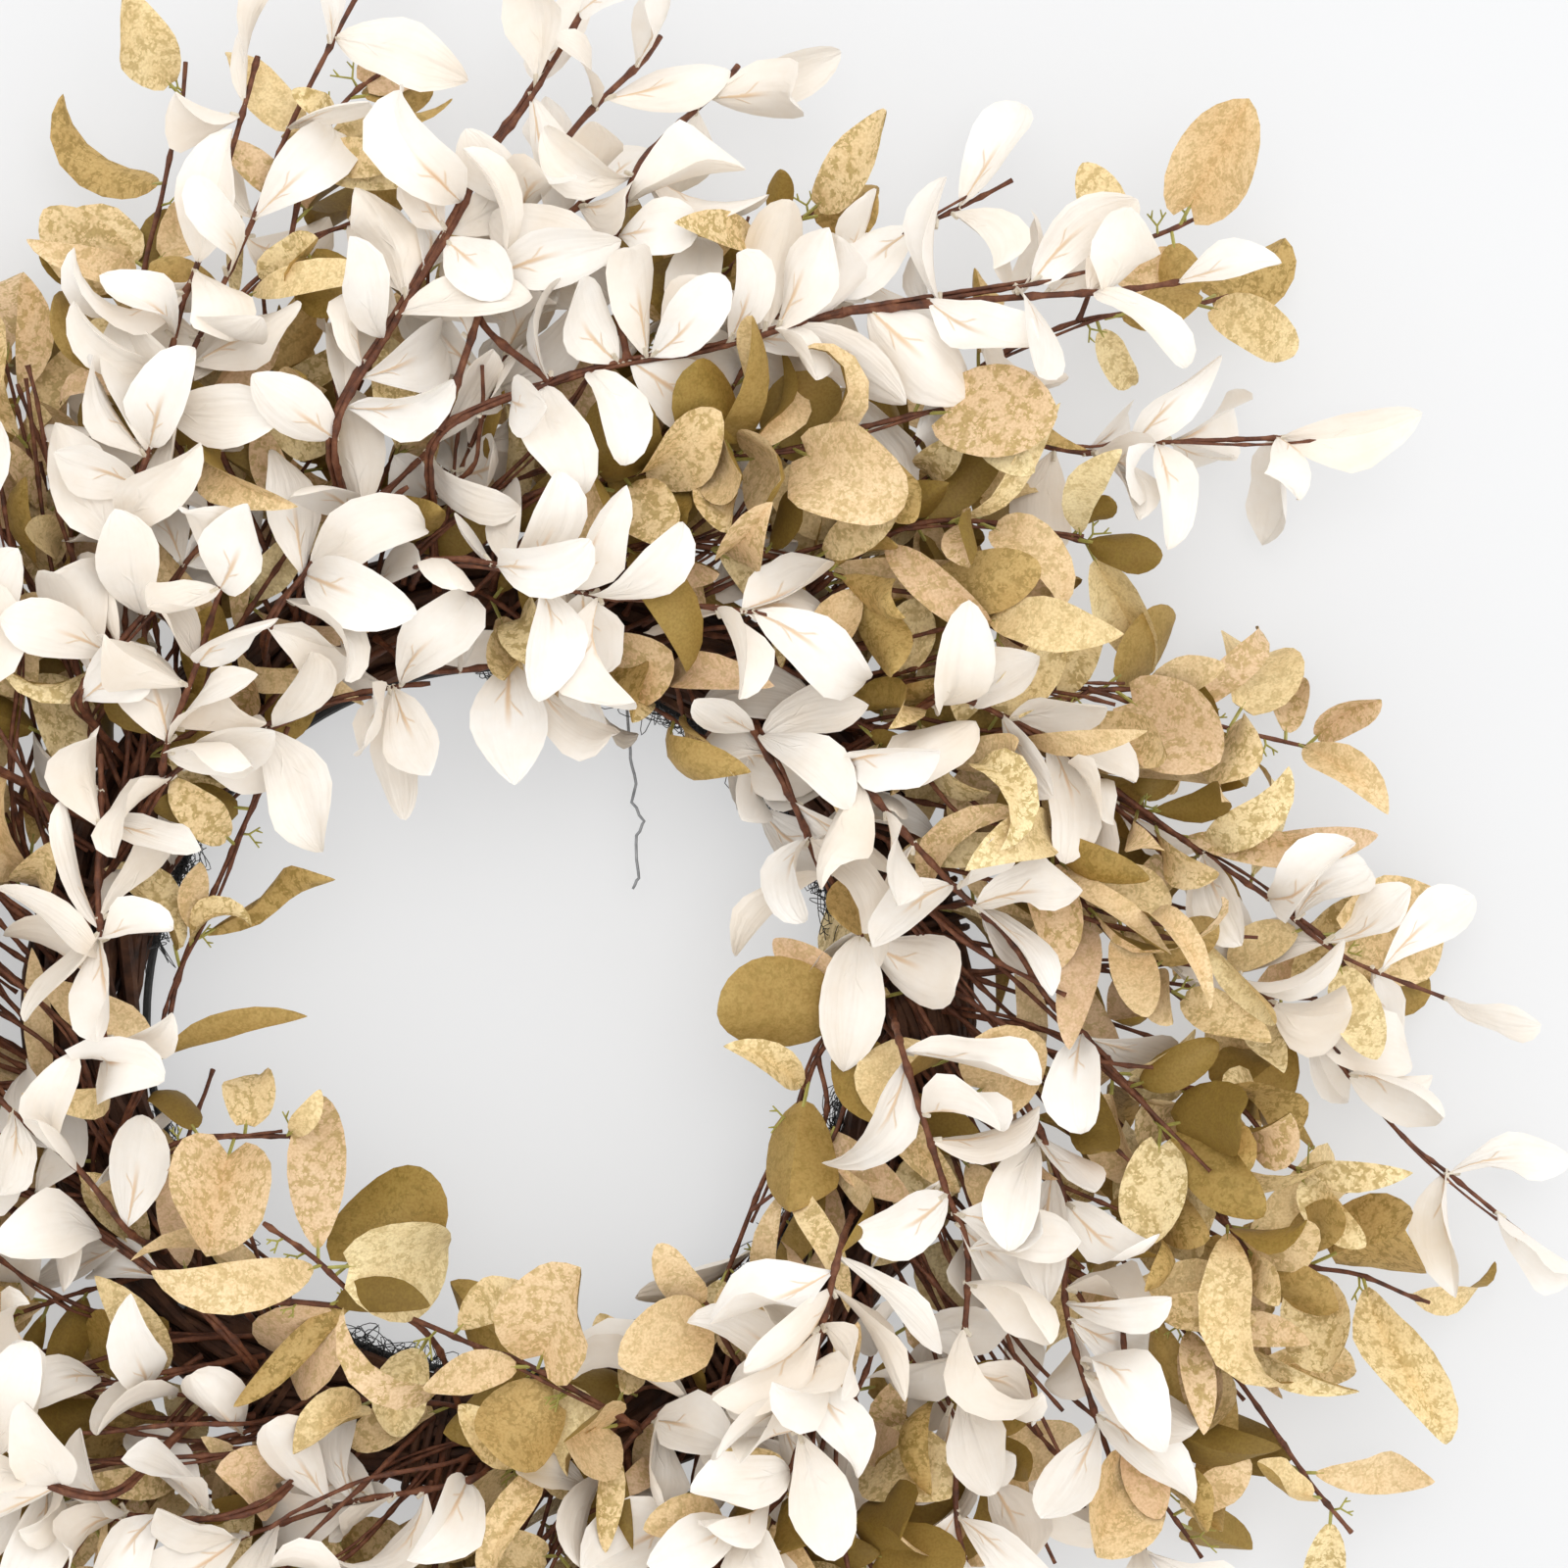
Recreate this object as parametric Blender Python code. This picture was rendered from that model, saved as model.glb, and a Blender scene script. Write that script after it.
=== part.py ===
"""Eucalyptus wreath that lies on its back: a twig ring with cream and gold leafy sprays.

Lengths are in millimetres until a mesh is made. The ring's axis is +Z and the front faces +Z.
"""

import itertools
import math
import random

import bmesh
import bpy
from mathutils import Matrix, Vector
from mathutils.bvhtree import BVHTree

MM = 0.001
SEED = 24

# Twig ring
RING_RADIUS = 140.0
RING_HALF_WIDTH = 18.5
RING_HALF_HEIGHT = 17.0
RING_LEVEL = 15.5
RING_RELIEF = 1.8
RING_VINES = 4
RING_SECTIONS = 32
RING_POINTS = 12
RING_TWISTS = 5

# Black wire ring behind the twigs, tie round a bundle, and the loose wire end
FRAME_RADIUS = 119.5
FRAME_WIRE = 1.4
FRAME_SIDES = 4
FRAME_LEVEL = 8.0
TIE_SPRAY = "cream_spray_19"
TIE_PLACES = (0.3, 0.34, 0.26, 0.38, 0.22, 0.42, 0.46, 0.5)
TIE_WIDTH = 4.6
TIE_THICK = 1.2
TIE_SIDES = 10
TAIL_WIRE = 0.8
TAIL_SIDES = 6
TAIL_ROUTE = (
    (43.0, 109.6, 15.5), (44.0, 96.0, 15.0), (44.0, 89.0, 14.0), (46.0, 80.0, 13.0), (44.8, 73.6, 12.0),
    (48.6, 67.8, 12.0), (46.4, 62.4, 12.0), (46.2, 54.4, 12.0), (47.2, 48.4, 12.0), (45.0, 44.6, 12.0),
)

# Fit between neighbouring pieces
SEAT_GAP = 0.35
SEAT_RAISE = 0.15
SEAT_TRIES = 40
CLEAR = 0.4
LOWEST_LEAF = 1.6

# What is tried, in turn, until a stem or a leaf is clear: millimetres for the lifts and the feet,
# radians round the ring for the foot turns, degrees for the leaves
STEM_LIFTS = (0, 3, -3, 6, -6, 9, -9, 13, 17, -13, 22, 27)
FOOT_BACKS = (12, 24, 38, 52, 4, 70)
FOOT_TURNS = (0, 0.06, -0.06, 0.13, -0.13, 0.2, -0.2)
FOOT_REACH = 0.6
FORK_LIFTS = (0, 3, -3, 6, -6, 10, -10, 15, 20, -15)
LEAF_SCALES = (1.0, 0.88, 0.76)
LEAF_TURNS = (0, 8, -8, 16, -16, 26, -26)
LEAF_LEANS = (0, 12, -12, 24, -24, 38, -38, 54, -54)
LEAF_SPINS = (0, 22, -22, 45, -45, 70, -70)
STEEPEST_LEAF = 1.25

# Stems and leaves
STEM_SIDES = 3
STEM_STEP = 32.0
STEM_TAPER = 0.8
FORK_SIZE = 0.9
LIFT_LEFT = 0.3
ROOT_SHIFT = (0.3, 2.4)
ROOT_SHARE = 0.16
BLADE = 0.8
CREAM_WIDTH = 21.0
CREAM_LONGEST = 44.0
LANCE_WIDTH = 13.0
NARROWEST = 13.5
NARROWEST_TURNED = 15.0
THINNEST_SEEN = 7.0

# The view that the sprays were drawn in: an eye above the upper right of the wreath.
# A place drawn at x, y is the one seen there when it lies at VIEW_LEVEL.
EYE = Vector((96.0, 80.0, 1510.0))
VIEW_LEVEL = 60.0

# Half widths of a leaf along its length, as shares of its greatest half width
OUTLINES = {
    "cream": ((0.0, 0.05), (0.1, 0.24), (0.25, 0.64), (0.42, 0.93), (0.58, 1.0), (0.74, 0.88), (0.88, 0.55),
              (1.0, 0.0)),
    "ovate": ((0.0, 0.06), (0.16, 0.07), (0.2, 0.3), (0.33, 0.8), (0.5, 1.0), (0.7, 0.9), (0.87, 0.52),
              (1.0, 0.0)),
    "round": ((0.0, 0.05), (0.17, 0.06), (0.21, 0.42), (0.34, 0.84), (0.58, 1.0), (0.8, 0.85), (0.93, 0.52),
              (1.0, 0.1)),
    "lance": ((0.0, 0.08), (0.12, 0.1), (0.2, 0.4), (0.36, 0.85), (0.52, 1.0), (0.7, 0.84), (0.86, 0.48),
              (1.0, 0.0)),
}

# Rows of points of a blade: share of its length, points across
STATIONS = {
    "cream": ((0.0, 1), (0.3, 2), (0.66, 3), (1.0, 1)),
    "ovate": ((0.0, 1), (0.2, 2), (0.48, 3), (0.8, 2), (1.0, 1)),
    "round": ((0.0, 1), (0.2, 2), (0.46, 3), (0.84, 2), (1.0, 1)),
    "lance": ((0.0, 1), (0.32, 2), (0.7, 2), (1.0, 1)),
}

# Each spray: name, stem radius, and its stems. A stem: level at its start, level at its tip, points x, y,
# and leaves. A leaf: share along the stem, heading in degrees, seen length and seen width; a leaf with a
# minus width shows its underside. Stems after the first fork off the first.
SPRAYS = (
    ("cream_spray_01", 1.2, (
        (80, 66, ((-120, 159), (-111, 190), (-100, 238), (-95, 251), (-83, 291), (-78, 309)),
         ((0.96, 82, 42, 22), (0.93, 165, 20, 14), (0.61, 74, 45, 23), (0.59, -45, 28, -12),
          (0.57, 205, 18, 14), (0.2, 101, 46, 23), (0.19, 124, 34, -12), (0.21, 66, 32, 10),
          (0.03, 46, 40, 20), (0.0, 117, 46, 20))),)),
    ("cream_spray_02", 1.2, (
        (72, 58, ((-98, 214), (-92, 232), (-76, 267), (-65, 295), (-51, 323), (-43, 338)),
         ((0.88, -19, 46, 21), (0.87, 97, 22, 6), (1.0, 56, 38, 18), (0.4, 43, 44, 24),
          (0.41, 120, 30, -14), (0.04, 24, 41, -17), (0.65, 10, 30, 14))),)),
    ("cream_spray_03", 2.0, (
        (84, 60, ((-51, 197), (-32, 230), (-12, 264), (-3, 283), (12, 303), (32, 336)),
         ((0.8, 90, 38, 19), (0.81, 66, 38, -15), (0.78, -81, 43, 24), (0.98, 20, 36, 17),
          (0.44, -42, 26, 21), (0.45, 118, 20, -16), (0.31, 116, 36, -16), (0.27, 148, 26, 12),
          (0.26, 6, 44, 22), (0.05, 4, 35, 12), (0.04, 106, 36, 18), (0.12, 28, 30, 14))),)),
    ("cream_spray_04", 1.5, (
        (86, 62, ((-16, 195), (20, 211), (45, 218), (71, 222), (115, 234), (147, 239), (174, 243),
          (193, 247)),
         ((0.17, -65, 38, 24), (0.31, -34, 42, 23), (0.33, 100, 36, -17), (0.34, 45, 32, 21),
          (0.29, 120, 28, 17), (0.33, 4, 42, 14), (0.46, 62, 28, 14), (0.53, 68, 34, -12),
          (0.48, -6, 28, 14), (0.56, -34, 45, -17), (0.55, -74, 22, 14), (0.68, -42, 45, -24),
          (0.77, -29, 42, 23), (0.9, -80, 40, 24), (0.93, 38, 42, 20))),
        (66, 56, ((120, 232), (174, 239), (205, 241), (226, 244)),
         ((0.75, -33, 38, 16), (0.77, 74, 28, 14), (1.0, 12, 30, 12))),
        (56, 42, ((33, 215), (40, 250), (47, 278), (55, 289), (76, 308)),
         ((0.95, 0, 32, -20), (0.96, 21, 48, 18), (0.9, -108, 28, 18), (0.6, 160, 30, 15))),
        (72, 54, ((0, 204), (2, 246), (19, 261), (39, 276)),
         ((0.88, 4, 28, -16), (0.9, 76, 26, -16), (0.52, 12, 42, 18), (0.98, 40, 22, 12))),
        (60, 46, ((2, 206), (-4, 234), (8, 262), (27, 293), (51, 317)),
         ((0.84, 105, 25, -17), (0.87, 20, 45, -18), (0.97, 60, 30, 14), (0.53, 130, 30, 16))))),
    ("cream_spray_05", 1.1, (
        (56, 42, ((80, 230), (109, 248), (123, 254), (147, 265), (163, 273)),
         ((0.45, 70, 34, -10), (0.74, 227, 34, 20), (0.8, -95, 34, 14), (0.86, -52, 30, -13),
          (0.9, 60, 42, 19))),)),
    ("cream_spray_06", 1.1, (
        (46, 36, ((160, 192), (195, 188), (212, 191), (258, 193), (276, 194)),
         ((0.86, 10, 47, 16), (0.85, -52, 24, -9), (0.84, -78, 36, 10), (0.52, 37, 33, 10),
          (0.5, -84, 34, 17), (0.55, -8, 22, 6), (0.3, 38, 24, 10), (0.32, -60, 28, 14))),)),
    ("cream_spray_07", 1.2, (
        (74, 52, ((-73, 132), (-58, 151), (-43, 166), (-32, 177), (-18, 191), (-7, 203)),
         ((0.25, 27, 40, 21), (0.22, 98, 44, -14), (0.84, 65, 44, 9), (0.86, 82, 32, 14),
          (0.8, -40, 36, 21), (0.5, 150, 30, 16))),)),
    ("cream_spray_08", 1.2, (
        (72, 60, ((-134, 109), (-121, 126), (-107, 142), (-97, 155)),
         ((0.95, 40, 30, 18), (0.93, 120, 36, 18), (0.3, 160, 34, -20), (0.6, 100, 38, 16))),)),
    ("cream_spray_09", 1.2, (
        (66, 88, ((-107, 83), (-105, 94), (-96, 118), (-87, 147)),
         ((1.0, 100, 30, -23), (0.98, 62, 34, 18), (0.97, 206, 24, 17), (0.2, 110, 44, -17),
          (0.22, 34, 40, 9), (0.62, 128, 28, 14), (0.6, 40, 30, 14))),)),
    ("cream_spray_10", 1.2, (
        (60, 58, ((-107, 80), (-91, 91), (-67, 100), (-50, 108), (-29, 112)),
         ((0.48, -64, 44, 22), (0.5, 58, 34, 17), (0.97, -80, 44, 16), (0.99, -62, 40, 14),
          (0.95, -98, 33, 12), (0.96, 142, 22, 14), (1.0, 44, 36, 23), (0.08, -140, 30, 14),
          (0.13, 20, 36, 18))),)),
    ("cream_spray_11", 1.1, (
        (58, 58, ((-24, 118), (-10, 117), (13, 121), (29, 125)),
         ((0.61, -88, 41, 25), (0.69, -50, 44, -14), (0.95, -58, 38, 23))),)),
    ("cream_spray_12", 1.1, (
        (84, 78, ((-19, 153), (0, 152), (32, 142), (51, 140), (87, 136)),
         ((1.0, -38, 46, 23), (0.93, 176, 28, 16), (0.96, 24, 30, 16), (0.9, -72, 30, 13),
          (0.98, -5, 26, -19), (0.48, -82, 26, 23), (0.5, 25, 36, 12), (0.45, 62, 38, 18),
          (0.28, 56, 34, 18), (0.26, 92, 30, 14), (0.2, 125, 26, 14))),)),
    ("cream_spray_13", 1.3, (
        (60, 46, ((87, 96), (96, 80), (104, 63), (112, 47), (123, 27)),
         ((0.02, -33, 36, 19), (0.1, 172, 20, 12), (0.0, 150, 22, 12), (0.48, -105, 26, 14),
          (0.5, -40, 36, 12), (0.68, 226, 40, -15), (0.97, -96, 46, 27), (1.0, -25, 34, -23),
          (0.95, -140, 28, 14))),)),
    ("cream_spray_14", 1.2, (
        (76, 56, ((115, 89), (131, 69), (152, 46), (169, 30), (182, 10), (194, -2), (201, -9)),
         ((0.02, 12, 30, 18), (0.12, 30, 40, -24), (0.42, 222, 34, 17), (0.5, -45, 38, 9),
          (0.53, -30, 30, 12), (0.44, 60, 24, 10), (0.92, -96, 30, 20), (0.94, -14, 32, 16),
          (1.0, -50, 24, 12))),)),
    ("cream_spray_15", 1.1, (
        (60, 48, ((150, 108), (168, 102), (184, 93), (205, 72), (227, 50)),
         ((0.38, -80, 38, 17), (0.4, -30, 28, 9), (0.98, -52, 36, 22), (0.66, -20, 42, -22),
          (0.2, -60, 30, 14))),
        (46, 36, ((188, 88), (229, 60), (255, 42), (278, 24), (312, 10)),
         ((0.85, 35, 38, 10), (0.72, 190, 28, 17), (0.84, -75, 38, 15), (0.4, -70, 30, 16),
          (1.0, -20, 30, 14))))),
    ("cream_spray_16", 1.2, (
        (72, 52, ((134, -5), (149, -53), (156, -73), (154, -112), (152, -154), (155, -174)),
         ((0.02, -12, 46, 9), (0.04, 236, 44, 15), (0.3, 204, 32, 21), (0.36, -42, 42, 24),
          (0.62, 214, 38, 17), (0.66, -70, 38, 18), (0.9, 232, 36, 20), (0.92, -40, 34, 18),
          (1.0, -95, 30, 16))),)),
    ("cream_spray_17", 1.2, (
        (64, 48, ((172, -20), (188, -58), (188, -91), (199, -130), (214, -171)),
         ((0.1, -50, 28, 14), (0.12, -110, 34, 20), (0.46, 5, 34, 17), (0.5, -24, 32, 18),
          (0.72, 238, 36, 20), (0.62, -30, 42, -18), (0.7, -38, 40, 12), (0.98, 150, 38, -21),
          (1.0, -30, 36, 18), (0.99, -80, 36, 18))),)),
    ("cream_spray_18", 1.0, (
        (44, 34, ((238, 20), (267, 0), (277, -11), (298, -35), (314, -48), (331, -62)),
         ((0.3, -66, 30, 19), (0.45, -12, 36, 17), (0.83, 0, 40, 8), (0.82, -85, 42, 13),
          (0.98, -30, 30, 12))),)),
    ("cream_spray_19", 1.6, (
        (52, 56, ((-82, -104), (-96, -90), (-114, -76), (-133, -63), (-160, -48), (-186, -26)),
         ((0.4, 205, 34, 14), (0.62, 246, 36, 20), (0.6, -76, 26, -16), (0.64, 75, 26, 16),
          (0.8, 150, 36, 20), (0.98, 190, 36, 18), (1.0, 110, 38, 20), (0.99, 60, 30, 14))),)),
    ("cream_spray_20", 1.2, (
        (66, 72, ((-118, -66), (-134, -46), (-160, -23), (-180, 2)),
         ((0.2, 48, 36, 21), (0.38, 80, 32, 17), (0.4, 120, 30, 17), (0.6, -100, 26, 17),
          (0.95, 130, 38, 20), (0.97, 70, 36, 18), (0.94, 190, 32, 16))),)),
    ("cream_spray_21", 1.2, (
        (78, 66, ((-126, -6), (-127, 25), (-128, 48), (-127, 67), (-127, 81)),
         ((0.84, 100, 34, -16), (0.86, 2, 32, 6), (0.45, 102, 44, 14), (0.42, -76, 36, 18),
          (0.44, 222, 34, 13), (0.4, 20, 24, 6), (0.98, 150, 34, 18), (0.05, 10, 24, 8))),)),
    ("cream_spray_22", 1.2, (
        (62, 46, ((86, -118), (58, -123), (35, -147), (10, -175)),
         ((0.36, -8, 24, 14), (0.35, -104, 30, 16), (0.68, 166, 26, 19), (0.66, -8, 36, 12),
          (1.0, 215, 36, 20), (0.98, -100, 34, 18), (0.97, 150, 34, 16))),)),
    ("cream_spray_23", 1.2, (
        (74, 56, ((109, -95), (98, -112), (86, -130), (67, -160), (59, -176)),
         ((0.08, 150, 28, 16), (0.12, -104, 30, 13), (0.35, 226, 44, 21), (0.33, -72, 34, -21),
          (0.36, -45, 32, 12), (0.82, 201, 42, 24), (0.8, -78, 32, 14), (1.0, -110, 36, 20),
          (0.99, 240, 30, 15))),)),
    ("cream_spray_24", 1.2, (
        (60, 48, ((-4, -146), (-19, -150), (-48, -155), (-82, -166)),
         ((0.45, 155, 40, -17), (0.5, 200, 36, 19), (0.62, 120, 34, -22), (0.98, 150, 36, 20),
          (1.0, 205, 38, 20), (0.85, -110, 32, 16))),)),
    ("gold_spray_01", 1.1, (
        (56, 46, ((-104, 197), (-113, 240), (-107, 272), (-100, 306)),
         ((1.0, 122, 38, 19), (0.73, 149, 46, -13), (0.43, 143, 38, 24), (0.4, 160, 34, -12),
          (0.46, 70, 24, -15), (0.1, 147, 38, -24), (0.05, 168, 34, 12))),
        (60, 64, ((-104, 198), (-94, 197), (-83, 199), (-70, 202)),
         ((0.5, 22, 34, 12), (0.75, -10, 30, 17), (1.0, 30, 28, 14), (0.85, -70, 28, 13))))),
    ("gold_spray_02", 1.1, (
        (60, 56, ((-86, 232), (-66, 253), (-51, 261), (-37, 263)),
         ((0.25, 30, 28, 17), (0.2, -14, 48, 12), (0.6, -60, 28, -21), (0.1, 150, 27, -16),
          (0.85, 45, 30, -16))),
        (56, 48, ((-66, 253), (-60, 280), (-50, 299), (-43, 307)),
         ((0.2, 36, 38, 20), (1.0, 40, 24, 19), (0.95, 12, 26, -15), (0.85, 166, 20, 9),
          (0.7, 172, 24, -12), (0.6, -14, 26, 14))))),
    ("gold_spray_03", 1.1, (
        (68, 62, ((10, 172), (45, 181), (80, 186), (101, 190), (128, 198), (156, 204)),
         ((0.62, -30, 40, 30), (0.66, 70, 34, 12), (0.92, -4, 40, 31), (0.88, 66, 32, 13),
          (0.24, -56, 32, 20), (0.4, -62, 26, 14), (0.48, 118, 34, -26), (1.0, -50, 32, 14),
          (0.78, -66, 34, -18))),)),
    ("gold_spray_04", 1.1, (
        (54, 44, ((58, 226), (81, 251), (96, 261), (104, 266)),
         ((0.98, 38, 46, 19), (0.96, 10, 27, -18), (0.8, 84, 20, -9), (0.5, 206, 30, -24),
          (0.7, 176, 44, 12), (0.55, -30, 30, 13))),)),
    ("gold_spray_05", 1.1, (
        (46, 36, ((160, 216), (192, 231), (220, 234), (233, 237)),
         ((1.0, 32, 36, -21), (0.98, -34, 43, 18), (0.6, 14, 30, -15), (0.55, -58, 26, 11))),
        (42, 32, ((176, 226), (202, 251), (227, 263)),
         ((1.0, 62, 43, 29), (0.94, -84, 26, -14), (0.6, 120, 30, 15))))),
    ("gold_spray_06", 1.1, (
        (60, 50, ((128, 160), (147, 166), (173, 164), (195, 159)),
         ((0.98, 72, 42, 12), (0.95, 46, 24, -12), (1.0, -58, 47, 19), (0.97, -14, 28, -14),
          (0.45, 20, 34, -15), (0.5, -40, 36, 18))),)),
    ("gold_spray_07", 1.1, (
        (56, 46, ((150, 122), (170, 114), (195, 111), (214, 111)),
         ((0.8, 44, 38, -25), (0.85, -36, 39, 30), (1.0, 16, 28, 13), (0.7, 112, 20, -9),
          (0.98, -18, 26, -13), (0.45, 75, 28, -12), (0.4, -60, 30, 14))),
        (42, 38, ((198, 110), (238, 99), (267, 92)),
         ((0.92, 74, 24, 12), (1.0, 34, 28, 12), (0.98, -42, 36, 13), (0.55, -60, 24, -15))))),
    ("gold_spray_08", 1.1, (
        (52, 36, ((176, 96), (196, 82), (232, 58), (267, 34), (277, 24)),
         ((0.93, 5, 44, 37), (0.96, -26, 40, -29), (0.98, -72, 38, 18), (0.9, 204, 32, 16),
          (0.55, 42, 38, 15), (0.7, 78, 40, 10), (0.35, 60, 30, -15), (0.4, -60, 30, 16))),
        (52, 48, ((180, 93), (182, 62), (196, 38), (210, 23), (223, 12)),
         ((0.45, -57, 50, 13), (0.75, -12, 27, -12), (0.9, -70, 28, 13), (1.0, -30, 36, 15),
          (0.5, 160, 26, -13), (0.9, 40, 30, -15))))),
    ("gold_spray_09", 1.1, (
        (66, 56, ((45, 157), (64, 158), (89, 155), (109, 152)),
         ((0.35, -100, 27, 12), (1.0, 1, 52, 20), (0.96, 30, 38, 16), (0.75, -70, 30, -15),
          (0.7, 60, 30, -15))),
        (58, 60, ((100, 153), (128, 144), (147, 141), (166, 130)),
         ((0.6, 8, 42, -20), (0.95, -4, 48, 19), (0.9, -98, 44, 14), (0.4, -70, 34, -17))))),
    ("gold_spray_10", 1.1, (
        (50, 40, ((120, 8), (107, -9), (101, -25), (89, -50), (78, -78)),
         ((0.05, 176, 40, -30), (0.35, 145, 30, 10), (0.32, -104, 40, -25), (0.0, 128, 30, 14),
          (1.0, 250, 28, 12))),
        (46, 38, ((112, -8), (110, -26), (104, -44), (91, -75)),
         ((0.35, -38, 36, 12), (0.98, -96, 22, 10))))),
    ("gold_spray_11", 1.1, (
        (56, 44, ((186, -2), (208, -18), (227, -43), (241, -64), (249, -75)),
         ((0.94, 24, 50, 19), (0.86, -84, 52, 18), (0.97, -40, 32, -17), (1.0, -62, 28, 12),
          (0.45, -42, 42, -19), (0.3, 30, 30, -15))),
        (48, 42, ((214, -26), (240, -22), (258, -42), (264, -46)),
         ((0.98, 0, 36, 11), (0.9, 122, 32, -23), (1.0, -50, 30, 14))),
        (46, 38, ((222, -37), (238, -62), (262, -76), (283, -80), (300, -87)),
         ((1.0, -15, 44, 13), (0.84, -60, 54, 19), (0.5, 40, 30, -15), (0.55, -70, 30, 15))))),
    ("gold_spray_12", 1.1, (
        (52, 38, ((206, -86), (224, -94), (234, -101), (249, -121), (267, -147), (275, -157)),
         ((0.85, -15, 42, 15), (0.84, 145, 38, -18), (1.0, -92, 32, 14), (0.25, -85, 34, 13),
          (0.28, 10, 28, 12), (0.96, 160, 30, 13))),
        (46, 40, ((212, -88), (208, -118), (212, -142), (228, -166)),
         ((0.4, -26, 50, -14), (0.5, -75, 30, 16), (0.95, -30, 36, -16), (0.9, 40, 30, 14))))),
    ("gold_spray_13", 1.2, (
        (66, 68, ((45, -128), (13, -110), (-3, -104), (-17, -98)),
         ((0.5, 66, 42, 33), (0.54, 184, 34, 15), (0.56, 140, 38, -18), (0.93, 36, 38, 14))),
        (60, 46, ((42, -126), (30, -134), (8, -142)),
         ((0.95, 226, 36, 30), (0.8, 240, 42, 13), (0.7, 150, 32, 16), (0.4, -80, 34, -18))))),
    ("gold_spray_14", 1.2, (
        (62, 70, ((-17, -104), (-32, -92), (-53, -90), (-63, -89)),
         ((0.66, 218, 36, 33), (0.82, 2, 34, -12), (0.1, -110, 34, 20))),
        (74, 84, ((-32, -90), (-45, -86), (-57, -75), (-67, -68)),
         ((0.62, 6, 38, 35), (0.55, 45, 40, -32), (0.7, 92, 50, 20), (0.68, 184, 50, 16))))),
    ("gold_spray_15", 1.1, (
        (60, 62, ((98, -132), (83, -112), (71, -91)),
         ((0.98, 125, 28, 14), (1.0, 12, 26, 20), (0.96, -42, 26, 14), (0.95, 204, 33, 27),
          (0.5, 60, 24, -13))),)),
    ("gold_spray_16", 1.1, (
        (58, 62, ((-118, -46), (-99, -36), (-78, -35), (-66, -35)),
         ((0.75, 84, 22, 17), (0.72, -100, 38, 32), (0.5, 128, 28, -15), (1.0, 50, 20, 9))),)),
    ("gold_spray_17", 1.1, (
        (44, 42, ((-118, -28), (-107, -6), (-102, 16), (-96, 32), (-90, 45), (-80, 67), (-69, 90)),
         ((0.48, 18, 54, 12), (0.16, 20, 52, 13), (0.5, 80, 26, 9), (0.46, 34, 24, 9),
          (0.85, 175, 30, -16), (1.0, 70, 30, -18), (0.75, 130, 30, 15))),)),
)

# Sprays on the arms that the drawn view cuts off: a drawn spray turned round the wreath's centre.
TURNED = (
    ("cream_spray_25", "cream_spray_01", 24), ("gold_spray_18", "gold_spray_01", 34),
    ("cream_spray_26", "cream_spray_05", 88), ("gold_spray_19", "gold_spray_03", 104),
    ("cream_spray_27", "cream_spray_03", 78), ("gold_spray_20", "gold_spray_07", 146),
    ("cream_spray_28", "cream_spray_04", 136), ("cream_spray_29", "cream_spray_17", 251),
    ("gold_spray_21", "gold_spray_12", 254), ("cream_spray_30", "cream_spray_01", 134),
    ("gold_spray_22", "gold_spray_01", 144), ("cream_spray_31", "cream_spray_03", 180),
    ("gold_spray_23", "gold_spray_03", 220), ("cream_spray_32", "cream_spray_16", -30),
    ("gold_spray_24", "gold_spray_12", -32),
)


def scene_start():
    for thing in list(bpy.data.objects):
        bpy.data.objects.remove(thing, do_unlink=True)


def material(name, colour, roughness, metallic=0.0):
    result = bpy.data.materials.new(name)
    result.use_nodes = True
    shader = result.node_tree.nodes["Principled BSDF"]
    shader.inputs["Base Color"].default_value = (*colour, 1.0)
    shader.inputs["Roughness"].default_value = roughness
    shader.inputs["Metallic"].default_value = metallic
    return result


def mesh_object(name, points, faces, look):
    mesh = bpy.data.meshes.new(name)
    mesh.from_pydata([Vector(p) * MM for p in points], [], faces)
    shape = bmesh.new()
    shape.from_mesh(mesh)
    bmesh.ops.recalc_face_normals(shape, faces=shape.faces)
    shape.to_mesh(mesh)
    shape.free()
    mesh.materials.append(look)
    result = bpy.data.objects.new(name, mesh)
    bpy.context.scene.collection.objects.link(result)
    return result


def seen(x, y, level):
    """The place at this level that shows at x, y in the drawn view."""
    share = (EYE.z - level) / (EYE.z - VIEW_LEVEL)
    return Vector((EYE.x + (x - EYE.x) * share, EYE.y + (y - EYE.y) * share, level))


def polar(radius, angle, level):
    return Vector((radius * math.cos(angle), radius * math.sin(angle), level))


def loop_faces(rows, sides, closed):
    """Faces between rings of points; an open tube gets end caps."""
    faces = []
    for row in range(rows if closed else rows - 1):
        following = (row + 1) % rows
        for side in range(sides):
            beside = (side + 1) % sides
            faces.append((row * sides + side, row * sides + beside,
                          following * sides + beside, following * sides + side))
    if not closed:
        faces.append(tuple(reversed(range(sides))))
        faces.append(tuple(range((rows - 1) * sides, rows * sides)))
    return faces


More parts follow.
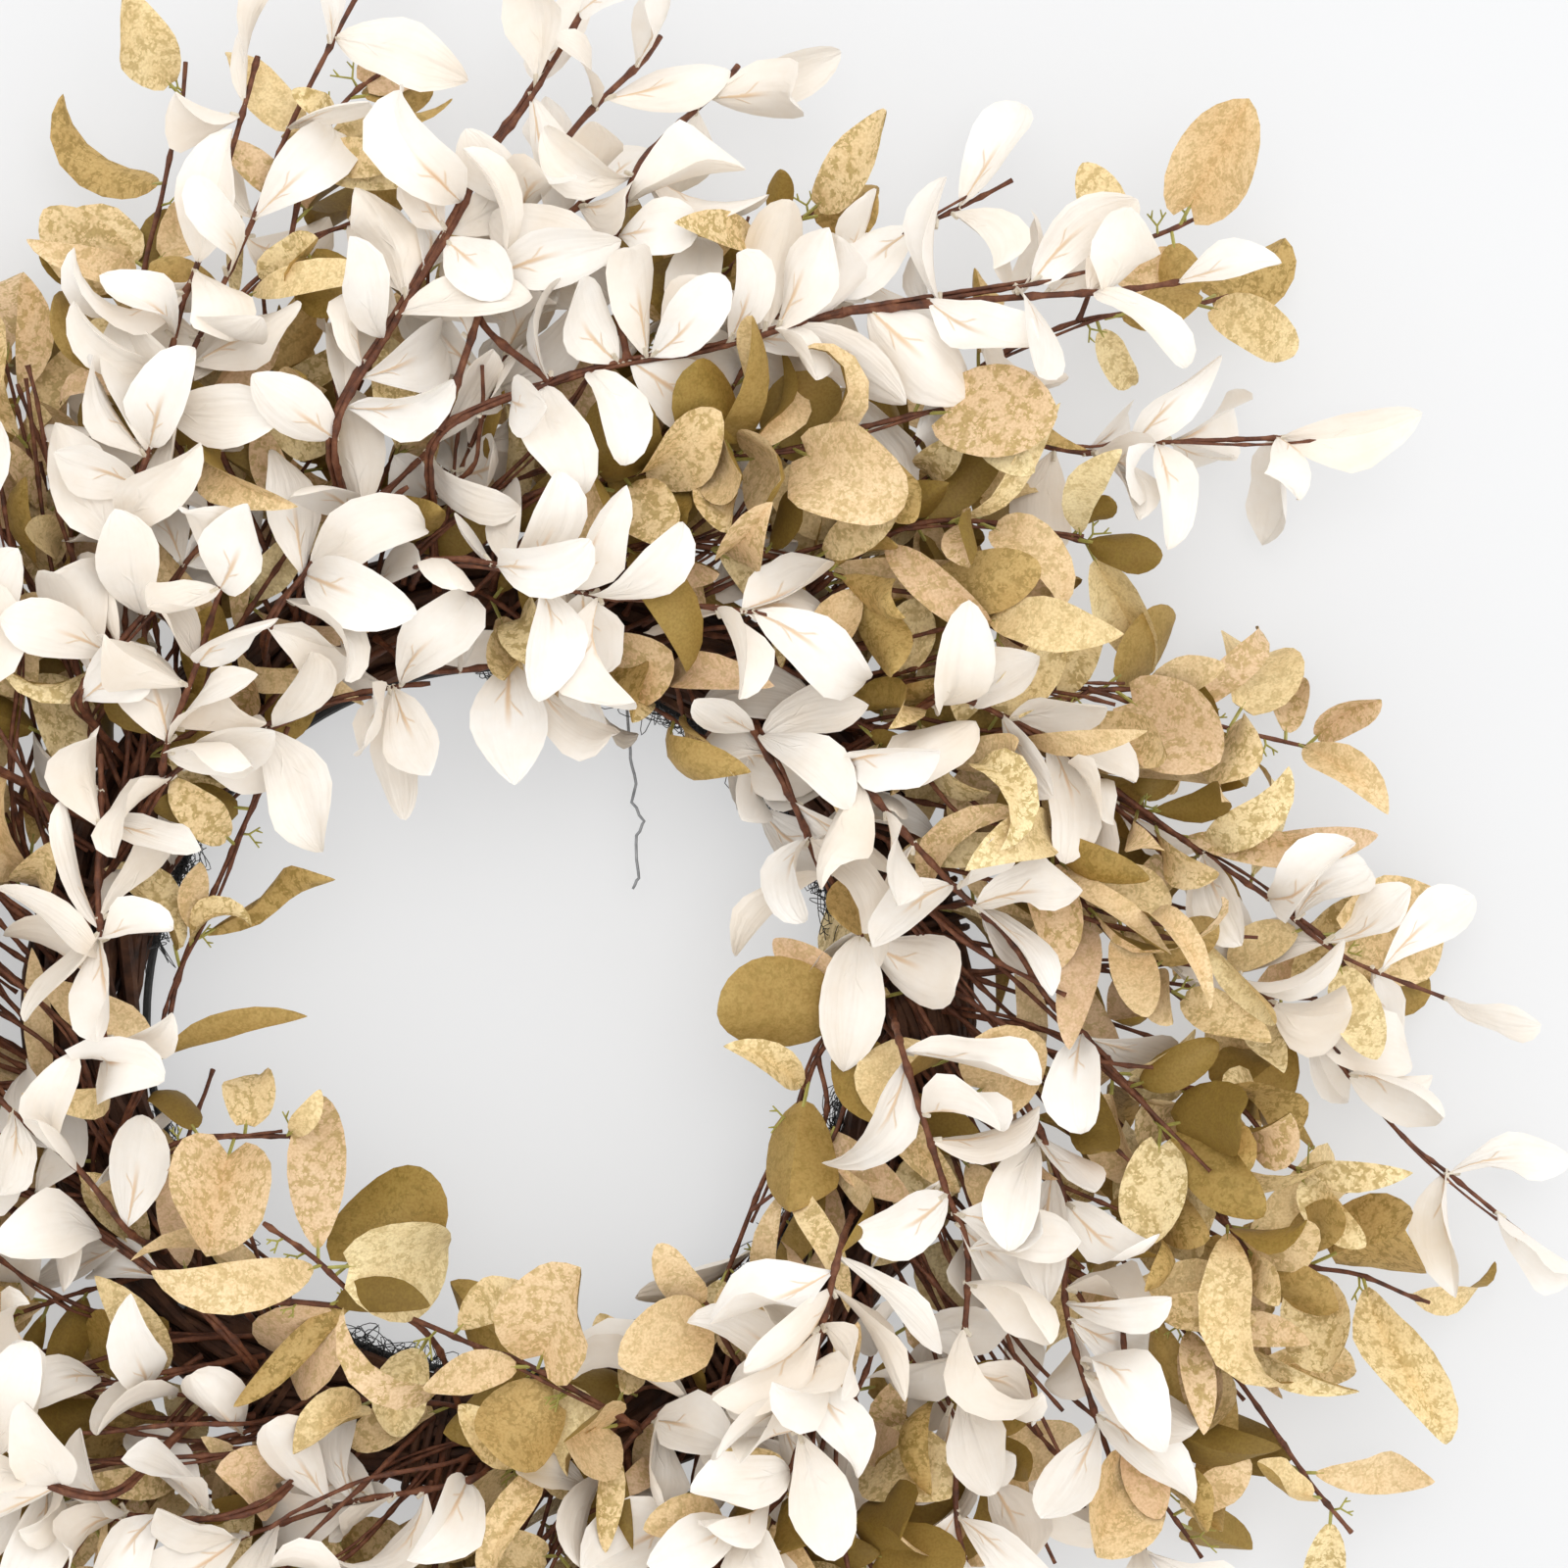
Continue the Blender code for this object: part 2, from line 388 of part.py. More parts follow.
def ring_mesh():
    """Twisted vines: each section has a ridge for every vine, and the sections turn as they go round."""
    points = []
    turn = 2 * math.pi / RING_VINES * RING_TWISTS / RING_SECTIONS
    for section in range(RING_SECTIONS):
        angle = 2 * math.pi * section / RING_SECTIONS
        for number in range(RING_POINTS):
            around = 2 * math.pi * number / RING_POINTS + turn * section
            ridge = RING_RELIEF * (number % (RING_POINTS // RING_VINES) != 0)
            out = (RING_HALF_WIDTH + ridge) * math.cos(around)
            level = RING_LEVEL + (RING_HALF_HEIGHT + ridge) * math.sin(around)
            points.append(polar(RING_RADIUS + out, angle, max(level, 0.0)))
    faces = loop_faces(RING_SECTIONS, RING_POINTS, False)[:-2]
    shift = RING_TWISTS * RING_POINTS // RING_VINES
    last = (RING_SECTIONS - 1) * RING_POINTS
    for side in range(RING_POINTS):
        beside = (side + 1) % RING_POINTS
        faces.append((last + side, last + beside,
                      (beside + shift) % RING_POINTS, (side + shift) % RING_POINTS))
    return points, [tuple(reversed(face)) for face in faces]


def split(points, faces):
    """The same surface in triangles, as a mesh for clearance tests."""
    triangles = []
    for face in faces:
        for corner in range(1, len(face) - 1):
            triangles.append((face[0], face[corner], face[corner + 1]))
    return points, triangles


def smooth_path(points, step):
    """Places about one step apart on a smooth curve through the points."""
    path = []
    ends = [points[0] * 2 - points[1], *points, points[-1] * 2 - points[-2]]
    for number in range(len(points) - 1):
        a, b, c, d = ends[number:number + 4]
        count = max(1, round((c - b).length / step))
        for part in range(count):
            t = part / count
            path.append(0.5 * (2 * b + (c - a) * t + (2 * a - 5 * b + 4 * c - d) * t ** 2
                               + (3 * b - a - 3 * c + d) * t ** 3))
    path.append(points[-1].copy())
    return path


def place_on(path, share):
    """The place and the direction at a share of a path's length."""
    lengths = [(b - a).length for a, b in zip(path, path[1:])]
    left = share * sum(lengths)
    for number, length in enumerate(lengths):
        if left <= length or number == len(lengths) - 1:
            a, b = path[number], path[number + 1]
            return a.lerp(b, min(1.0, left / length)), (b - a).normalized()
        left -= length


def tube_mesh(path, radius, tip_radius, sides):
    points = []
    side = Vector((0, 0, 1))
    for number, place in enumerate(path):
        ahead = path[min(number + 1, len(path) - 1)] - path[max(number - 1, 0)]
        ahead.normalize()
        side = (side - ahead * side.dot(ahead)).normalized()
        across = ahead.cross(side)
        size = radius + (tip_radius - radius) * number / (len(path) - 1)
        for corner in range(sides):
            angle = 2 * math.pi * corner / sides
            points.append(place + size * (side * math.cos(angle) + across * math.sin(angle)))
    return points, loop_faces(len(path), sides, False)


def outline_at(kind, share):
    rows = OUTLINES[kind]
    for (s0, w0), (s1, w1) in zip(rows, rows[1:]):
        if share <= s1:
            return w0 + (w1 - w0) * (share - s0) / (s1 - s0)
    return rows[-1][1]


class Leaf:
    """One leaf: where it grows, where its tip is, and how it is rolled, arched, cupped and twisted."""

    def __init__(self, kind, root, tip, roll, width, arch, cup, twist):
        self.kind = kind
        self.root = root
        self.line = tip - root
        self.long = self.line.length
        self.ahead = self.line.normalized()
        up = Vector((0, 0, 1)) - self.ahead * self.ahead.z
        if up.length < 0.05:
            up = Vector((0, 1, 0)) - self.ahead * self.ahead.y
        self.face = Matrix.Rotation(roll, 3, self.ahead) @ up.normalized()
        self.half = width / 2
        self.arch = arch
        self.cup = cup
        self.twist = twist

    def frame(self, share):
        face = Matrix.Rotation(self.twist * max(0.0, share - 0.3), 3, self.ahead) @ self.face
        return face, self.ahead.cross(face)

    def point(self, share, across, grow=0.0):
        face, side = self.frame(share)
        half = self.half * outline_at(self.kind, share) + grow
        lift = self.arch * self.long * 4 * share * (1 - share) + self.cup * half * abs(across) ** 1.6
        return self.root + self.line * share + face * lift + side * half * across

    def solid(self, thick, grow=0.0):
        """A closed blade with both faces split alike."""
        middle, rows = [], []
        for share, count in STATIONS[self.kind]:
            spread = {1: (0.0,), 2: (-1.0, 1.0), 3: (-1.0, 0.0, 1.0)}[count]
            rows.append([len(middle) + number for number in range(count)])
            for across in spread:
                middle.append((self.point(share, across, grow), self.frame(share)[0]))
        face = []
        for first, second in zip(rows, rows[1:]):
            face += strip(first, second)
        rim = [row[0] for row in rows] + [row[-1] for row in reversed(rows) if len(row) > 1]
        total = len(middle)
        points = [p + n * thick / 2 for p, n in middle] + [p - n * thick / 2 for p, n in middle]
        faces = list(face) + [tuple(reversed([v + total for v in f])) for f in face]
        for a, b in zip(rim, rim[1:] + rim[:1]):
            if 0 in (a, b):
                faces.append((b, a, a + total, b + total))
            else:
                faces += [(b, a, a + total), (b, a + total, b + total)]
        return points, faces


def strip(first, second):
    """Triangles between two rows of one, two or three points."""
    if len(first) == 1:
        return [(first[0], b, a) for a, b in zip(second, second[1:])]
    if len(second) == 1:
        return [(a, b, second[0]) for a, b in zip(first, first[1:])]
    if len(first) == 2 and len(second) == 2:
        return [(first[0], first[1], second[1]), (first[0], second[1], second[0])]
    if len(first) == 2 and len(second) == 3:
        return [(first[0], second[1], second[0]), (first[0], first[1], second[1]),
                (first[1], second[2], second[1])]
    return [(first[0], first[1], second[0]), (first[1], second[1], second[0]),
            (first[1], first[2], second[1])]


class Crowd:
    """The pieces placed so far, for clearance tests."""

    def __init__(self):
        self.items = []

    def add(self, owner, points, triangles):
        low = [min(p[k] for p in points) for k in range(3)]
        high = [max(p[k] for p in points) for k in range(3)]
        self.items.append((owner, low, high, BVHTree.FromPolygons(points, triangles)))

    def meets(self, owner, points, triangles):
        """True if the mesh meets this owner's pieces."""
        others = {item[0] for item in self.items} - {owner}
        return self.blocked(points, triangles, skip=others)

    def blocked(self, points, triangles, skip=()):
        low = [min(p[k] for p in points) for k in range(3)]
        high = [max(p[k] for p in points) for k in range(3)]
        tree = None
        for owner, lo, hi, other in self.items:
            if owner in skip:
                continue
            if any(low[k] > hi[k] or high[k] < lo[k] for k in range(3)):
                continue
            tree = tree or BVHTree.FromPolygons(points, triangles)
            if tree.overlap(other):
                return True
        return False


def sleeve(path, radius, gap):
    """A stem's surface moved out by a gap, for clearance tests."""
    more = gap / math.cos(math.pi / STEM_SIDES)
    return split(*tube_mesh(path, radius + more, STEM_TAPER * radius + more, STEM_SIDES))


def stem_foot(start, following, back, side):
    """A place over the ring that the stem can come from: back along its own direction."""
    away = start - following
    away.z = 0
    away.normalize()
    place = start + away * back
    angle = math.atan2(place.y, place.x)
    reach = Vector((place.x, place.y)).length
    margin = FOOT_REACH * RING_HALF_WIDTH
    radius = min(max(reach, RING_RADIUS - margin), RING_RADIUS + margin)
    return polar(radius, angle + side, RING_LEVEL + 2 * RING_HALF_HEIGHT)


def seated_path(ring, crowd, route, place, radius):
    """A stem from the ring through the route, its foot raised until the stem just clears the ring."""
    foot, normal, _, _ = ring.find_nearest(place)
    for _ in range(SEAT_TRIES):
        path = smooth_path([foot] + route, STEM_STEP)
        if not crowd.meets("vine_ring", *sleeve(path, radius, SEAT_GAP)):
            return path
        foot = foot + normal * SEAT_RAISE
    return None


def solve_stem(radius, start_level, end_level, drawn, turn, ring, crowd):
    """A clear route for a stem: its foot is moved and its height changed until nothing blocks it."""
    spin = Matrix.Rotation(turn, 3, "Z")
    count = len(drawn) - 1
    for lift in STEM_LIFTS:
        route = []
        for number, (x, y) in enumerate(drawn):
            level = start_level + (end_level - start_level) * number / count
            raised = lift * (1 - (1 - LIFT_LEFT) * number / count)
            route.append(spin @ seen(x, y, level + raised))
        for back in FOOT_BACKS:
            for side in FOOT_TURNS:
                place = stem_foot(route[0], route[1], back, side)
                path = seated_path(ring, crowd, route, place, radius)
                if path is None:
                    continue
                if not crowd.blocked(*sleeve(path, radius, CLEAR), skip=("vine_ring",)):
                    return path
    return None


def solve_fork(radius, start_level, end_level, drawn, turn, main, crowd, name):
    """A side stem that starts inside the main stem and clears the other sprays."""
    spin = Matrix.Rotation(turn, 3, "Z")
    first = spin @ seen(*drawn[0], start_level)
    flat = [Vector((p.x - first.x, p.y - first.y)).length for p in main]
    number = min(max(flat.index(min(flat)), 1), len(main) - 2)
    root = main[number]
    for lift in FORK_LIFTS:
        route = [root]
        for step, (x, y) in enumerate(drawn[1:], 1):
            level = root.z + (end_level - root.z) * step / (len(drawn) - 1)
            route.append(spin @ seen(x, y, level + lift))
        path = smooth_path(route, STEM_STEP)
        if not crowd.blocked(*sleeve(path, radius, CLEAR), skip=(name,)):
            return path
    return None


def leaf_kind(colour, length, width):
    if colour == "cream":
        return "cream"
    if length < 1.5 * width:
        return "round"
    return "ovate" if length < 2.5 * width else "lance"


def draft_leaf(colour, root, heading, length, width, draw):
    """The leaf as drawn: its true length, its roll and its form follow from what is seen of it."""
    kind = leaf_kind(colour, length, abs(width))
    full = {"cream": CREAM_WIDTH, "lance": LANCE_WIDTH}.get(kind, abs(width))
    full = max(full, abs(width))
    roll = math.acos(min(1.0, max(abs(width), THINNEST_SEEN) / full)) * draw.choice((-1, 1))
    longest = CREAM_LONGEST if colour == "cream" else 1.18 * length
    true_length = max(length, min(longest, 1.22 * length))
    tilt = math.acos(min(1.0, length / true_length)) * draw.choice((-1, 1, 1))
    tilt += draw.uniform(-0.1, 0.1)
    roll += draw.uniform(-0.22, 0.22)
    arch = draw.uniform(0.02, 0.1) * (1 if draw.random() < 0.75 else -1)
    cup = draw.uniform(0.05, 0.32)
    if width < 0:
        arch, cup = -arch, -cup
    twist = draw.uniform(-0.5, 0.5)
    if kind == "lance":
        arch *= 1.5
    return kind, true_length, full, heading, tilt, roll, arch, cup, twist


def solve_leaf(draft, root, name, own, crowd):
    """The leaf nearest to its draft that clears everything else, or none."""
    kind, length, width, heading, tilt, roll, arch, cup, twist = draft
    for scale, turn, lean, spin in itertools.product(LEAF_SCALES, LEAF_TURNS, LEAF_LEANS, LEAF_SPINS):
        angle = math.radians(heading + turn)
        rise = tilt + math.radians(lean)
        if abs(rise) > STEEPEST_LEAF:
            continue
        flat = math.cos(rise)
        way = Vector((math.cos(angle) * flat, math.sin(angle) * flat, math.sin(rise)))
        leaf = Leaf(kind, root, root + way * length * scale, roll + math.radians(spin),
                    width * (0.5 + scale / 2), arch, cup, twist)
        points, faces = leaf.solid(BLADE + 2 * CLEAR, CLEAR)
        if min(p.z for p in points) < LOWEST_LEAF:
            continue
        if crowd.blocked(points, faces, skip=(name,)) or blade_meets(leaf, own):
            continue
        return leaf
    return None


def blade_meets(leaf, own):
    """True if the blade beyond its root meets a stem or another blade of the same spray."""
    cut = Leaf(leaf.kind, leaf.root, leaf.root + leaf.line, 0, 2 * leaf.half, leaf.arch, leaf.cup, leaf.twist)
    cut.face = leaf.face
    near = leaf.root + leaf.line * ROOT_SHARE
    points, faces = cut.solid(BLADE + CLEAR, CLEAR / 2)
    half = len(points) // 2
    face = leaf.frame(ROOT_SHARE)[0]
    points[0] = near + face * BLADE / 2
    points[half] = near - face * BLADE / 2
    return own.blocked(points, faces)


def solve_spray(name, radius, stems, turn, ring, crowd):
    """Routes of one spray's stems; the first one starts on the ring."""
    start, end, drawn, _ = stems[0]
    path = solve_stem(radius, start, end, drawn, turn, ring, crowd)
    if path is None:
        return []
    paths = [path]
    add_stem(crowd, name, path, radius)
    for start, end, drawn, _ in stems[1:]:
        fork = solve_fork(FORK_SIZE * radius, start, end, drawn, turn, path, crowd, name)
        paths.append(fork)
        if fork:
            add_stem(crowd, name, fork, FORK_SIZE * radius)
    return paths


def add_stem(crowd, name, path, radius):
    crowd.add(name, *split(*tube_mesh(path, radius, STEM_TAPER * radius, STEM_SIDES)))


def grow_leaves(name, radius, stems, paths, turn, crowd):
    """Leaves of one spray, each as near to its drawn place as its neighbours allow."""
    draw = random.Random(f"{SEED} {name}")
    colour = name.split("_")[0]
    own = Crowd()
    for number, path in enumerate(paths):
        if path:
            add_stem(own, name, path, radius if number == 0 else FORK_SIZE * radius)
    narrowest = NARROWEST_TURNED if turn else NARROWEST
    leaves = []
    for path, (level, _, drawn, rows) in zip(paths, stems):
        if path is None:
            continue
        seen_part = drawn_share(path, Matrix.Rotation(turn, 3, "Z") @ seen(*drawn[0], level))
        for share, heading, length, width in rows:
            if abs(width) < narrowest:
                continue
            place, ahead = place_on(path, 1 - (1 - share) * seen_part)
            root = place - ahead * draw.uniform(*ROOT_SHIFT)
            draft = draft_leaf(colour, root, heading + math.degrees(turn), length, width, draw)
            leaf = solve_leaf(draft, root, name, own, crowd)
            if leaf is None:
                continue
            leaves.append(leaf)
            points, faces = leaf.solid(BLADE)
            crowd.add(name, points, faces)
            own.add(name, points, faces)
    return leaves


def drawn_share(path, first):
    """How much of a path lies beyond its first drawn point; the rest leads to the ring."""
    lengths = [(b - a).length for a, b in zip(path, path[1:])]
    apart = [math.hypot(place.x - first.x, place.y - first.y) for place in path[:-1]]
    return sum(lengths[apart.index(min(apart)):]) / sum(lengths)


def fuse(name, stem_parts, leaves, look):
    """One Boolean union of a spray's stems and leaves."""
    parts = bpy.data.collections.new(name + "_parts")
    bpy.context.scene.collection.children.link(parts)
    body = mesh_object(name, *stem_parts[0], look)
    for number, (points, faces) in enumerate(stem_parts[1:] + leaves):
        piece = mesh_object(f"{name}_piece_{number}", points, faces, look)
        bpy.context.scene.collection.objects.unlink(piece)
        parts.objects.link(piece)
    join = body.modifiers.new("join", "BOOLEAN")
    join.operation = "UNION"
    join.operand_type = "COLLECTION"
    join.collection = parts
    join.solver = "EXACT"
    graph = bpy.context.evaluated_depsgraph_get()
    mesh = bpy.data.meshes.new_from_object(body.evaluated_get(graph))
    body.modifiers.remove(join)
    body.data = mesh
    for piece in list(parts.objects):
        bpy.data.objects.remove(piece, do_unlink=True)
    bpy.data.collections.remove(parts)
    keep_largest(mesh)
    return body


def keep_largest(mesh):
    """Drops loose scrap that a union can leave."""
    shape = bmesh.new()
    shape.from_mesh(mesh)
    left = set(shape.verts)
    groups = []
    while left:
        group, front = set(), [left.pop()]
        while front:
            vertex = front.pop()
            group.add(vertex)
            for edge in vertex.link_edges:
                other = edge.other_vert(vertex)
                if other in left:
                    left.remove(other)
                    front.append(other)
        groups.append(group)
    groups.sort(key=len)
    for group in groups[:-1]:
        bmesh.ops.delete(shape, geom=list(group), context="VERTS")
    bmesh.ops.triangulate(shape, faces=shape.faces)
    shape.to_mesh(mesh)
    shape.free()


def tie_mesh(path, radius, along):
    """A narrow band round a stem, clear of it."""
    place, ahead = place_on(path, along)
    side = Vector((0, 0, 1)) - ahead * ahead.z
    side.normalize()
    across = ahead.cross(side)
    inner = radius + SEAT_GAP
    edge = TIE_WIDTH / 2
    points = []
    for corner in range(TIE_SIDES):
        angle = 2 * math.pi * corner / TIE_SIDES
        way = (side * math.cos(angle) + across * math.sin(angle)) / math.cos(math.pi / TIE_SIDES)
        outer = inner + TIE_THICK
        for reach, shift in ((inner, -edge), (outer, -edge), (outer, edge), (inner, edge)):
            points.append(place + way * reach + ahead * shift)
    return points, loop_faces(TIE_SIDES, 4, True)


def clear_tie(path, radius, crowd):
    """The tie at the first place along its stem where it meets nothing."""
    for along in TIE_PLACES:
        points, faces = tie_mesh(path, radius, along)
        if not crowd.blocked(*split(points, faces)):
            return points, faces
    return None


def frame_mesh():
    points = []
    for step in range(RING_SECTIONS):
        angle = 2 * math.pi * step / RING_SECTIONS
        for corner in range(FRAME_SIDES):
            turn = 2 * math.pi * corner / FRAME_SIDES
            points.append(polar(FRAME_RADIUS + FRAME_WIRE * math.cos(turn), angle,
                                FRAME_LEVEL + FRAME_WIRE * math.sin(turn)))
    return points, loop_faces(RING_SECTIONS, FRAME_SIDES, True)


def all_sprays():
    """Drawn sprays and the turned ones: name, stem radius, stems, turn."""
    rows = [(name, radius, stems, 0.0) for name, radius, stems in SPRAYS]
    drawn = {name: (radius, stems) for name, radius, stems in SPRAYS}
    for name, source, degrees in TURNED:
        radius, stems = drawn[source]
        rows.append((name, radius, stems[:1], math.radians(degrees)))
    return rows


def grow(crowd, ring, tie_look):
    """Every spray's stems first, then the tie, then every spray's leaves."""
    routes = {}
    for name, radius, stems, turn in all_sprays():
        routes[name] = solve_spray(name, radius, stems, turn, ring, crowd)
        if name == TIE_SPRAY:
            tie_radius = radius
    tie = clear_tie(routes[TIE_SPRAY][0], tie_radius, crowd)
    mesh_object("stem_tie", *tie, tie_look)
    crowd.add("stem_tie", *split(*tie))
    grown = {}
    for name, radius, stems, turn in all_sprays():
        if routes[name]:
            grown[name] = (radius, routes[name], grow_leaves(name, radius, stems, routes[name], turn, crowd))
    return grown


def centre_all():
    """Moves the whole wreath so that the middle of its outline is at the origin."""
    low = Vector((1e9, 1e9, 1e9))
    high = -low
    for thing in bpy.data.objects:
        for vertex in thing.data.vertices:
            for axis in range(3):
                low[axis] = min(low[axis], vertex.co[axis])
                high[axis] = max(high[axis], vertex.co[axis])
    shift = Matrix.Translation((-(low.x + high.x) / 2, -(low.y + high.y) / 2, -low.z))
    for thing in bpy.data.objects:
        thing.data.transform(shift)


def build():
    scene_start()
    looks = {
        "cream": material("cream_leaf", (0.9, 0.87, 0.8), 0.6),
        "gold": material("gold_leaf", (0.62, 0.45, 0.2), 0.42, 0.35),
        "vine": material("vine", (0.13, 0.06, 0.03), 0.8),
        "black": material("black_wire", (0.02, 0.02, 0.02), 0.5),
        "tie": material("black_tie", (0.015, 0.015, 0.015), 0.3),
        "steel": material("binding_wire", (0.36, 0.37, 0.38), 0.4, 0.8),
    }
    ring_points, ring_faces = ring_mesh()
    mesh_object("vine_ring", ring_points, ring_faces, looks["vine"])
    crowd = Crowd()
    crowd.add("vine_ring", *split(ring_points, ring_faces))
    ring = crowd.items[0][3]
    frame = frame_mesh()
    mesh_object("frame_wire", *frame, looks["black"])
    crowd.add("frame_wire", *split(*frame))
    tail_route = [Vector(place) for place in TAIL_ROUTE]
    spot, normal, _, _ = ring.find_nearest(tail_route[0])
    tail_route[0] = spot + normal * 2 * SEAT_GAP
    tail = tube_mesh(tail_route, TAIL_WIRE, TAIL_WIRE, TAIL_SIDES)
    mesh_object("wire_tail", *tail, looks["steel"])
    crowd.add("wire_tail", *split(*tail))
    for name, (radius, paths, leaves) in grow(crowd, ring, looks["tie"]).items():
        stems = []
        for number, path in enumerate(paths):
            if path:
                size = radius if number == 0 else FORK_SIZE * radius
                stems.append(tube_mesh(path, size, STEM_TAPER * size, STEM_SIDES))
        fuse(name, stems, [leaf.solid(BLADE) for leaf in leaves], looks[name.split("_")[0]])
    centre_all()


build()
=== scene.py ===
"""Eucalyptus wreath: the finished look of an artificial wreath that lies on its back.

Lengths are in millimetres from the middle of the wreath until a mesh is made.
"""

import itertools
import math
import random

import bpy
import numpy as np
from mathutils import Matrix, Vector
from mathutils.bvhtree import BVHTree


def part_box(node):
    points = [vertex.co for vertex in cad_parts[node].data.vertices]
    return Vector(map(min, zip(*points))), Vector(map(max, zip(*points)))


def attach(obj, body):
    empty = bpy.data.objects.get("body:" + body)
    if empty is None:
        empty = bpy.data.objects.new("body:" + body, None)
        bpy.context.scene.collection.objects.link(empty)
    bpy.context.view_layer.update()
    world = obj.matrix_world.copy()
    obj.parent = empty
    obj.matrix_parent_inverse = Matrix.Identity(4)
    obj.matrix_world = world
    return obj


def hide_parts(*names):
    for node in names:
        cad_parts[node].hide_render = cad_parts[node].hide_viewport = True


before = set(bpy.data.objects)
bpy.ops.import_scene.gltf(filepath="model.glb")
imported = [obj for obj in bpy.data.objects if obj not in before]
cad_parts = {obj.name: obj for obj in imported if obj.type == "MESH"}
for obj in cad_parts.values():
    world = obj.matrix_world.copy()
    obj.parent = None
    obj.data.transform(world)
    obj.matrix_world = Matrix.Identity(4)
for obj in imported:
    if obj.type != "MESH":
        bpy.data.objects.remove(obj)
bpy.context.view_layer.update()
bpy.ops.object.select_all(action="DESELECT")

# Twig ring: brown vines twisted into a thick ring, the body that every spray is pushed into.
# The vines lie in three layers and wander round each other. The ring's lowest vines lie flat
# on the surface. The black wire ring inside it marks the middle of the wreath.
MM = 0.001
SEED = 24
RING_RADIUS = 140.0
RING_HALF_WIDTH = 18.5
RING_HALF_HEIGHT = 17.0
RING_LEVEL = 15.5
RING_RELIEF = 1.8
RING_VINES = 4
RING_SECTIONS = 32
RING_POINTS = 12
RING_TWISTS = 5
VINE_LAYERS = ((26, 0.97, 2.0), (12, 0.66, 2.9), (5, 0.26, 4.2))
VINE_STEPS = 60
VINE_TURNS = (1, 2, 2, 3)
VINE_WIND = 1.4
VINE_STRAY = 0.5
VINE_SWELL = 0.16
VINE_OFF_FLOOR = 0.3
VINE_SMOOTH = 50
ANY_PHASE = 6.3
BARK_RELIEF = (0.6, 0.0006)
VINE_BROWN = (0.07, 0.024, 0.009)
VINE_DARK = (0.018, 0.006, 0.002)
VINE_PALE = (0.14, 0.058, 0.023)

wire_low, wire_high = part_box("frame_wire")
MIDDLE = Vector(((wire_low[0] + wire_high[0]) / 2, (wire_low[1] + wire_high[1]) / 2, 0))


def placed(point):
    """A place of the wreath in metres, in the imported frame."""
    return Vector(point) * MM + MIDDLE


def polar(radius, angle, level):
    return Vector((radius * math.cos(angle), radius * math.sin(angle), level))


def pick(*pieces):
    """Selects these pieces alone and makes the last one active."""
    bpy.ops.object.select_all(action="DESELECT")
    for piece in pieces:
        piece.select_set(True)
    bpy.context.view_layer.objects.active = pieces[-1]


def link(tree, pairs):
    """Joins sockets: each pair is (node, output) and (node, input)."""
    for (source, out), (target, into) in pairs:
        tree.links.new(source.outputs[out], target.inputs[into])


def new_material(name, roughness, metallic=0.0):
    look = bpy.data.materials.new(name)
    look.use_nodes = True
    tree = look.node_tree
    shader = tree.nodes["Principled BSDF"]
    shader.inputs["Roughness"].default_value = roughness
    shader.inputs["Metallic"].default_value = metallic
    return look, tree, shader


def node(tree, kind, **values):
    """A node with these settings; a key that names an input sets that input."""
    made = tree.nodes.new(kind)
    for key, value in values.items():
        if hasattr(made, key):
            setattr(made, key, value)
        else:
            made.inputs[key.replace("_", " ")].default_value = value
    return made


def maths(tree, operation, value=None):
    """A math node; a value sets its second input."""
    made = node(tree, "ShaderNodeMath", operation=operation)
    if value is not None:
        made.inputs[1].default_value = value
    return made


def new_group(name, takes, gives):
    """A node group with these numbers as its inputs and outputs."""
    group = bpy.data.node_groups.new(name, "ShaderNodeTree")
    for side, sockets in (("INPUT", takes), ("OUTPUT", gives)):
        for socket in sockets:
            group.interface.new_socket(socket, in_out=side, socket_type="NodeSocketFloat")
    return group


def ramp(tree, *stops):
    """A colour ramp from stops of (place, colour)."""
    made = tree.nodes.new("ShaderNodeValToRGB")
    elements = made.color_ramp.elements
    while len(elements) < len(stops):
        elements.new(0.5)
    for element, (place, colour) in zip(elements, stops):
        element.position = place
        element.color = (*colour, 1.0)
    return made


def mottle_group():
    """Fine uneven noise for bark, stems and leaf backs: a value, and a height for a bump."""
    group = new_group("mottle", ("Scale",), ("Value", "Height"))
    into = group.nodes.new("NodeGroupInput")
    out = group.nodes.new("NodeGroupOutput")
    place = group.nodes.new("ShaderNodeTexCoord")
    coarse = node(group, "ShaderNodeTexNoise", Detail=4.0, Roughness=0.6)
    fine = node(group, "ShaderNodeTexNoise", Detail=3.0, Roughness=0.7)
    finer = maths(group, "MULTIPLY", 7.0)
    link(group, [
        ((into, "Scale"), (coarse, "Scale")), ((into, "Scale"), (finer, 0)), ((finer, 0), (fine, "Scale")),
        ((place, "Object"), (coarse, "Vector")), ((place, "Object"), (fine, "Vector")),
        ((coarse, "Fac"), (out, "Value")), ((fine, "Fac"), (out, "Height")),
    ])
    return group


MOTTLE = mottle_group()


def mottled(tree, shader, scale, stops, bump, distance):
    """Colours a shader from the mottle group through a ramp, and roughens it with the same group."""
    mottle = node(tree, "ShaderNodeGroup", node_tree=MOTTLE, Scale=scale)
    colours = ramp(tree, *stops)
    rough = node(tree, "ShaderNodeBump", Strength=bump, Distance=distance)
    link(tree, [
        ((mottle, "Value"), (colours, "Fac")), ((mottle, "Height"), (rough, "Height")),
        ((rough, "Normal"), (shader, "Normal")),
    ])
    return colours


